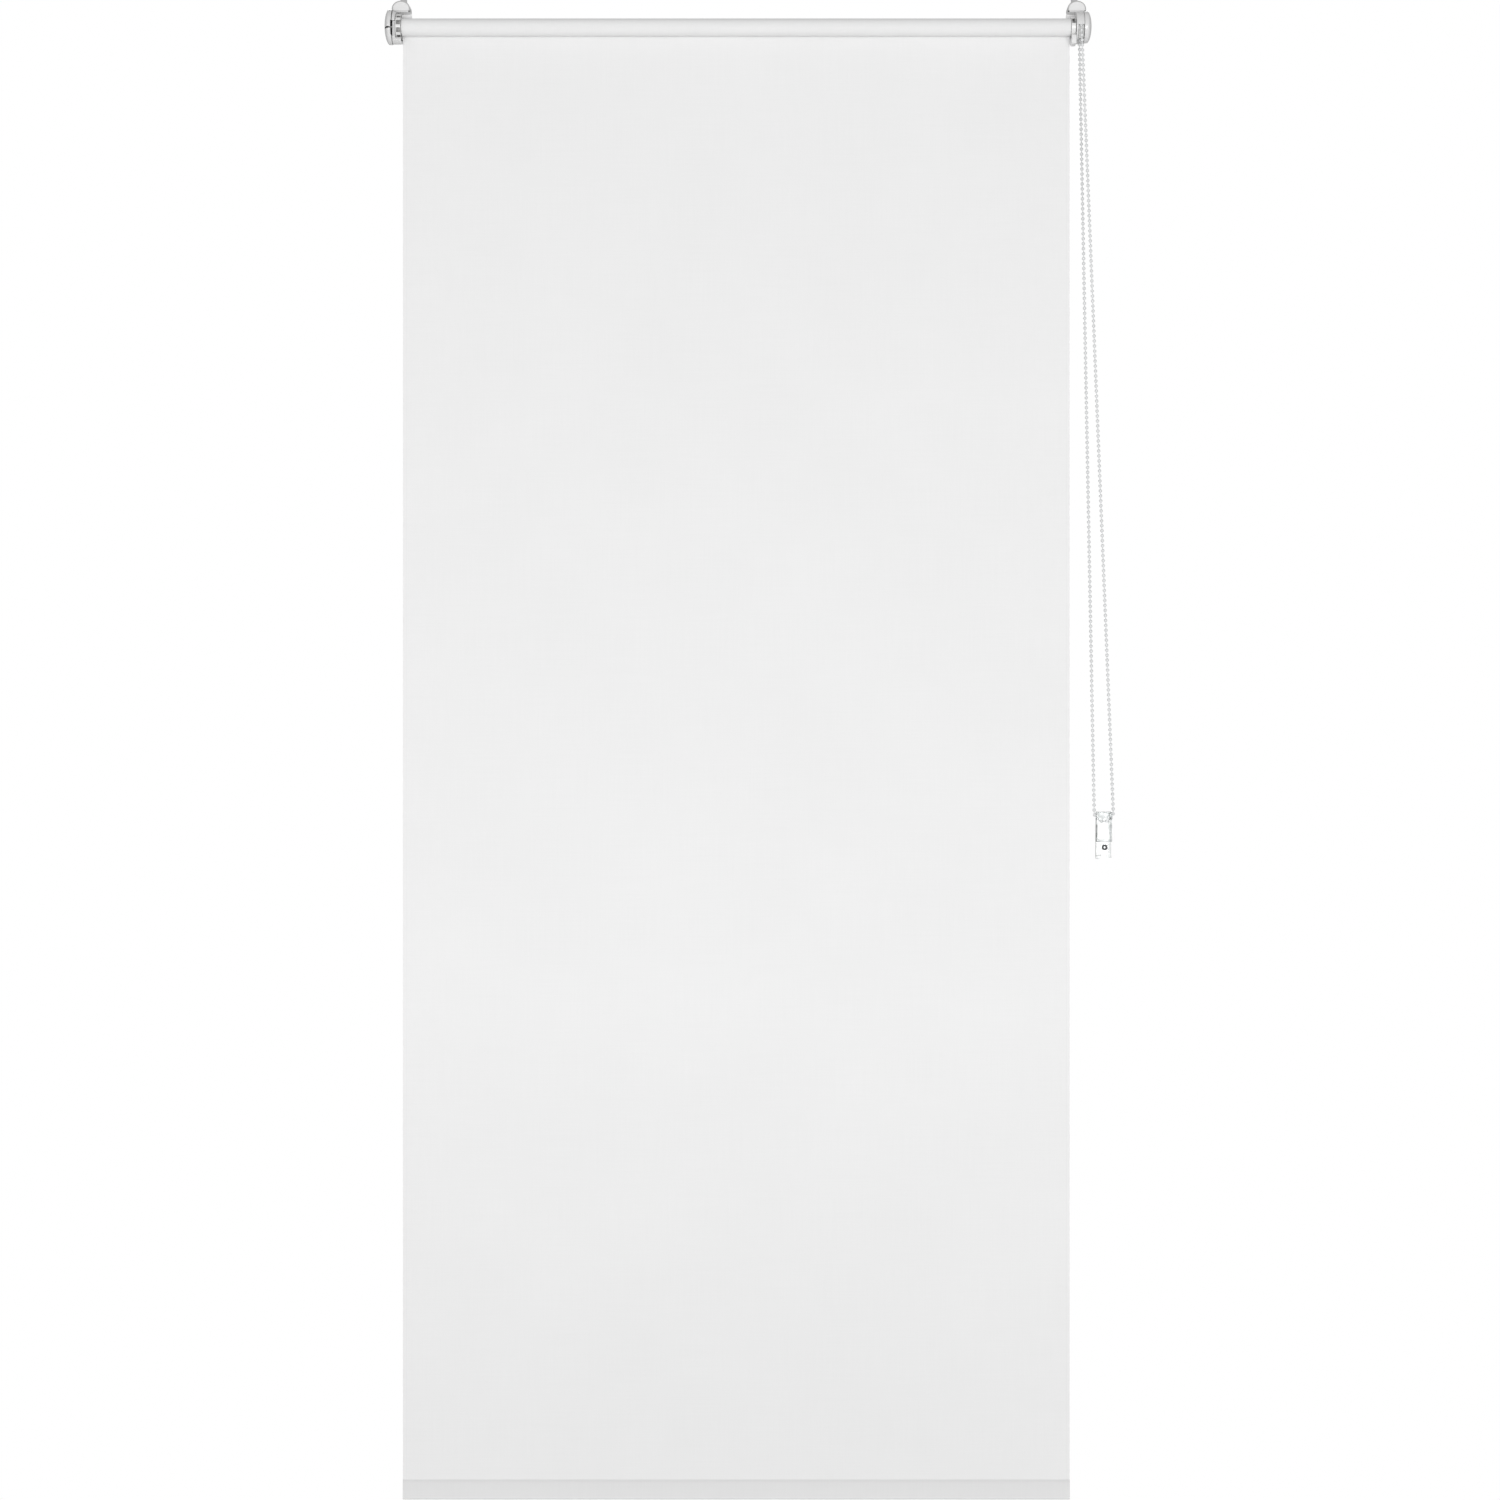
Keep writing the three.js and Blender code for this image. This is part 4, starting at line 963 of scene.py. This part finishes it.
def castellated(places, radii, count, phase, height, columns_per_window=10):
    """A hollow shell with evenly spaced windows: columns are angles that crowd to each window's two
    sides, rows are places along X, and the cells of the windows are left out."""
    half = math.asin(height / 2 / radii[0])
    pitch = 2 * math.pi / count
    opening = np.linspace(-half, half, 5)
    land = np.linspace(half, pitch - half, columns_per_window)[1:-1]
    starts = math.radians(phase) + pitch * np.arange(count)[:, None]
    angle = (np.concatenate([opening, land]) + starts).ravel()
    in_window = np.tile(np.r_[np.ones(4, bool), np.zeros(len(land) + 1, bool)], count)
    x = np.asarray(places)[:, None] + 0 * angle
    y, z = -np.cos(angle) + 0 * x, np.sin(angle) + 0 * x
    shells = [np.stack([x, AXIS_Y + r * y, r * z], -1) for r in radii]
    keep = np.ones((len(places) - 1, len(angle)), bool)
    keep[1:-1, in_window] = False
    return walled(*shells, keep)


ring = [
    castellated([-335.9, -335.65, -331.1, -330.9], (12.5, 11.0), 10, 12, 4.8),
    washer(-335.9, -330.9, 5.9, 7.0, 0.25, 72),
    washer(-335.9, -335.0, 7.0, 12.2, 0.2, 90),
]
piece("adjuster_castellations", ring, RING_PLASTIC, "adjuster", "adjuster_ring", bevel=0.22)


def splined(angle, along, radius):
    """Eight shallow flutes where the plug grips the inside of the tube."""
    grip = (radius > 6.2) & (along > -329) & (along < -293)
    return along, radius - grip * 0.5 * np.clip(np.cos(8 * angle), 0, 1) ** 2


plug_profile = [
    (-335.9, 2.7), (-335.9, 5.3), (-335.6, 5.6), (-330.6, 5.6), (-330.6, 6.6), (-330.3, 6.9), (-292.6, 6.9),
    (-292, 6.3), (-292, 0), (-296, 0), (-296, 2.7),
]
plug = revolved(plug_profile, ring=True, reshape=splined)
piece("idle_end_plug", [plug], RUNNING_PLASTIC, "roller", "idle_plug")

pin_profile = [(-334.2, 0), (-334.2, 2.0), (-333.9, 2.3), (-311.4, 2.3), (-311, 1.9), (-311, 0)]
pin_blade = cuboid((-344, -24.2, -0.9), (-332.2, -19.8, 0.9), 0.5, 0.4, "y")
piece("spring_pin", [revolved(pin_profile, sides=48), pin_blade], RUNNING_PLASTIC, "idle_pin", "idle_pin")


def coil(start, end, radius, turns, wire, steps=28):
    """A round wire on a helix about the roller's axis, whose end turns lie close."""
    t = np.linspace(0, 1, int(turns * steps))
    angle = 2 * math.pi * turns * t
    x = start + (end - start) * (t - 0.06 * np.sin(2 * math.pi * t))
    return swept(np.stack([x, AXIS_Y + radius * np.cos(angle), radius * np.sin(angle)], 1), wire, 8)


pin_spring = piece("pin_coil", [coil(-310.4, -296.6, 1.9, 8, 0.25)], WIRE_METAL, "root", "pin_spring")
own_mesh(pin_spring)

# ---- Chain end ----

COLLAR_ROOM, SHELF_TOP = 10.6, -9.4  # the radius of the hollow over the shelf, and the shelf's top
corner_angle = math.atan2(-SHELF_TOP, math.sqrt(COLLAR_ROOM**2 - SHELF_TOP**2))
low_arc = np.linspace(-corner_angle, corner_angle - math.pi, 18)
arc = np.stack([AXIS_Y + COLLAR_ROOM * np.cos(low_arc), COLLAR_ROOM * np.sin(low_arc)], 1)
shelf = np.vstack([[(-4.3, SHELF_TOP)], arc, [(-33, SHELF_TOP), (-33, -18.2), (-18.4, -18.2), (-4.3, -12)]])
shelf_corners = np.r_[0.4, 0.3, np.zeros(16), 0.3, 0.5, 0.8, 1.5, 0.4]
drive_end = [
    washer(343.8, DRIVE_FACE, 4.2, 13.6),
    cuboid((343.8, -14, -9), (DRIVE_FACE, -4.3, 9), 1.5, 0.3, "x"),
    cuboid((331.1, -7, -12.4), (DRIVE_FACE, -4.3, 12), 1.0, 0.4),
    slab(rounded(shelf, shelf_corners, 3), 330.9, 335.3, "x", 0.35),
]
piece("drive_end_plate", drive_end, BRACKET_PLASTIC, "root", "drive_bracket")

guard = [washer(335.6, 337.0, 6.9, 14.6), slab(sector(13.3, 14.6, 0, 190, 0.4, 48), 335.8, 343.1, "x", 0.3)]
piece("guard_drum", guard, COVER_PLASTIC, "root", "chain_guard")


def pocketed(angle, along, radius):
    """Ribs between the beads: the groove's floor rises from a pocket to the next rib as a raised
    cosine, and not at all outside the groove."""
    off = along - WHEEL_X
    groove = np.clip(1 - np.abs(off) / 2.2, 0, 1) ** 0.4
    rib = (0.5 - 0.5 * np.cos(POCKETS * angle)) ** 3
    return along, radius + np.where((radius > 8.5) & (radius < 12.55), 1.9 * groove * rib, 0)


groove_places = np.linspace(-2.24, 2.24, 15)
wheel_profile = [(335.3, 4.9), (335.3, 6.0), (335.5, 6.2), (337.4, 6.2), (337.4, 12.3), (337.6, 12.6)]
groove_depths = 3.65 * np.sqrt(1 - (groove_places / 2.25) ** 2)
wheel_profile += list(zip(WHEEL_X + groove_places, 12.6 - groove_depths))
wheel_profile += [(342.8, 12.6), (343.0, 12.3), (343.0, 4.9)]
wheel = revolved(wheel_profile, sides=168, ring=True, reshape=pocketed)
piece("bead_wheel", [wheel], RUNNING_PLASTIC, "roller", "chain_wheel")

collar = [
    castellated([330.8, 331.4, 334.6, 335.0], (9.8, 8.4), 3, 35, 7.4),
    washer(330.8, 331.5, 4.9, 9.5, 0.2),
    washer(330.8, 335.0, 4.9, 6.0, 0.25),
    washer(296, 331.0, 4.9, 6.9, 0.4),
]
piece("coupler_collar", collar, COLLAR_PLASTIC, "roller", "drive_coupler", bevel=0.2)

core_profile = [(300, 1.6), (300, 3.3), (300.3, 3.6), (343.2, 3.6), (343.5, 3.3), (343.5, 0), (316, 0)]
core = revolved(core_profile + [(316, 1.6)], sides=64, ring=True)
piece("clutch_spigot", [core], RUNNING_PLASTIC, "root", "clutch_core")


def cross_headed(top, edge, radius, shank, half=0.42, reach=1.9, **where):
    """A screw: its head's profile is a flat-topped quarter ellipse from the pole to the edge, and its
    face sinks by 1 mm where either arm of a cross is, out to the cross's reach."""
    def crossed(angle, along, across):
        a, b = np.abs(across * np.cos(angle)), np.abs(across * np.sin(angle))
        arms = ((a < half) | (b < half)) & (across < reach) & (np.abs(along - top) < 0.5)
        return along + arms, across

    head = [(edge + (top - edge) * math.sqrt(max(0.0, 1 - s**4)), radius * s) for s in np.linspace(0, 1, 16)]
    return revolved(head + shank, sides=72, reshape=crossed, **where)


core_screw = cross_headed(297.3, 299.7, 4.3, [(299.7, 1.3), (312.4, 1.3), (312.7, 1.0), (312.7, 0)])
piece("spigot_screw", [core_screw], WIRE_METAL, "root", "core_screw")
piece("clutch_coil", [coil(306, 330, 4.2, 9, 0.3)], WIRE_METAL, "roller", "clutch_spring")

# ---- Chain tensioner ----

LEFT, RIGHT, TOP, STEP, BOTTOM = 357.5, 373.0, -776.0, -805.8, -822.8
SADDLE_RADIUS = 7.25
foot = BOTTOM + 3.2
base_side = rounded(
    [(0, TOP), (0, BOTTOM), (-5.5, BOTTOM), (-5.5, foot), (-2.5, foot), (-2.5, TOP)],
    [0.4, 0.6, 0.8, 0.6, 0.8, 0.4],
)
tensioner_base = piece(
    "tensioner_plate", [slab(base_side, LEFT, RIGHT, "x", 0.6)], CLEAR_PLASTIC, "root", "tensioner_base"
)
lip = STEP + 1.8
cover_side = rounded(
    [(-9.5, TOP), (-9.5, STEP), (-2.8, STEP), (-2.8, lip), (-7.9, lip), (-7.9, TOP)],
    [0.5, 1.0, 0.4, 0.3, 0.8, 0.3],
)
saddle_turn = np.linspace(math.pi, 2 * math.pi, 30)
saddle = SADDLE_RADIUS * np.stack([np.cos(saddle_turn), np.sin(saddle_turn)], 1) + (LOOP_END[0], TOP)
cover_parts = [
    slab(cover_side, LEFT, RIGHT, "x", 0.5),
    slab(rounded(saddle, np.r_[0.3, np.zeros(28), 0.3]), -7.8, -2.8, "y", 0.3),
]
for low, high in ((LEFT + 0.05, LEFT + 1.6), (RIGHT - 1.6, RIGHT - 0.05)):
    cover_parts.append(cuboid((low, -7.95, STEP + 1.7), (high, -2.8, -789), 0.5, 0.3, "x"))
tensioner_cover = piece("tensioner_front", cover_parts, CLEAR_PLASTIC, "root", "tensioner_cover")
screw_place = {"centre": (366.3, 0, -811.4), "axis": "y"}
screw_shank = [(-3.0, 1.3), (-0.3, 1.3), (-0.3, 0)]
screw = cross_headed(-4.3, -3.0, 1.55, screw_shank, half=0.26, reach=1.1, **screw_place)
tensioner_screw = piece("tensioner_fixing", [screw], WIRE_METAL, "root", "tensioner_screw")
seal_section = rounded([(-3.6, 1.4), (-2.7, 1.4), (-2.7, 2.85), (-3.6, 2.85)], 0.25, 3)
seal_ring = revolved(seal_section, sides=72, ring=True, **screw_place)
seal = piece("tensioner_seal", [seal_ring], GRIP_RUBBER, "root")

# ---- Floor, background and light ----


def add_floor():
    """A plain pale sheet under the hem that ends before the main view meets it."""
    mesh = bpy.data.meshes.new("floor")
    corners = [(-2.6, -3.2), (2.6, -3.2), (2.6, 0.55), (-2.6, 0.55)]
    mesh.from_pydata([(x, y, FLOOR_Z) for x, y in corners], [], [(0, 1, 2, 3)])
    floor = linked("floor", mesh)
    material, g, inputs = new_material("floor_paper", Roughness=0.9)
    g.feed(inputs["Base Color"], g.mix(g.remap(g.noise(g.place(), 3.0), 0.3, 0.7), solid(0.92), solid(0.94)))
    mesh.materials.append(material)


def add_world(seen, low, high):
    """White behind everything that the camera sees, straight or through clear plastic. What lights the
    blind is dimmer, and dimmer still from below than from overhead."""
    world = bpy.data.worlds.new("studio")
    world.use_nodes = True
    bpy.context.scene.world = world
    g = Graph(world.node_tree)
    background = world.node_tree.nodes["Background"]
    background.inputs["Color"].default_value = WHITE
    path = g.node("LightPath").outputs
    rays = g.math("MAXIMUM", path["Is Camera Ray"], path["Is Transmission Ray"])
    up = g.axes(g.node("TexCoord").outputs["Generated"])["Z"]
    g.feed(background.inputs["Strength"], g.mix_values(rays, g.remap(up, -0.1, 0.7, low, high), seen))


def add_softbox(name, place, aim, size, power):
    """A rectangular area light at a place in metres, turned to face a point."""
    data = bpy.data.lights.new(name, "AREA")
    data.shape = "RECTANGLE"
    data.size, data.size_y = size
    data.energy = power
    light = linked(name, data)
    light.location = place
    away = np.array(place) - np.array(aim)
    across = math.hypot(away[0], away[1])
    light.rotation_euler = (math.atan2(across, away[2]), 0, math.atan2(away[0], -away[1]))


add_floor()
add_world(1.0, 0.42, 0.46)
add_softbox("front_box", (0.2, -6.0, -1.05), (0.0, 0.0, -0.85), (3.6, 2.2), 202)
add_softbox("rear_box", (0.0, 4.6, 2.4), (0.0, 0.0, -0.7), (3.0, 1.6), 90)
bpy.context.scene.view_settings.view_transform = "Standard"
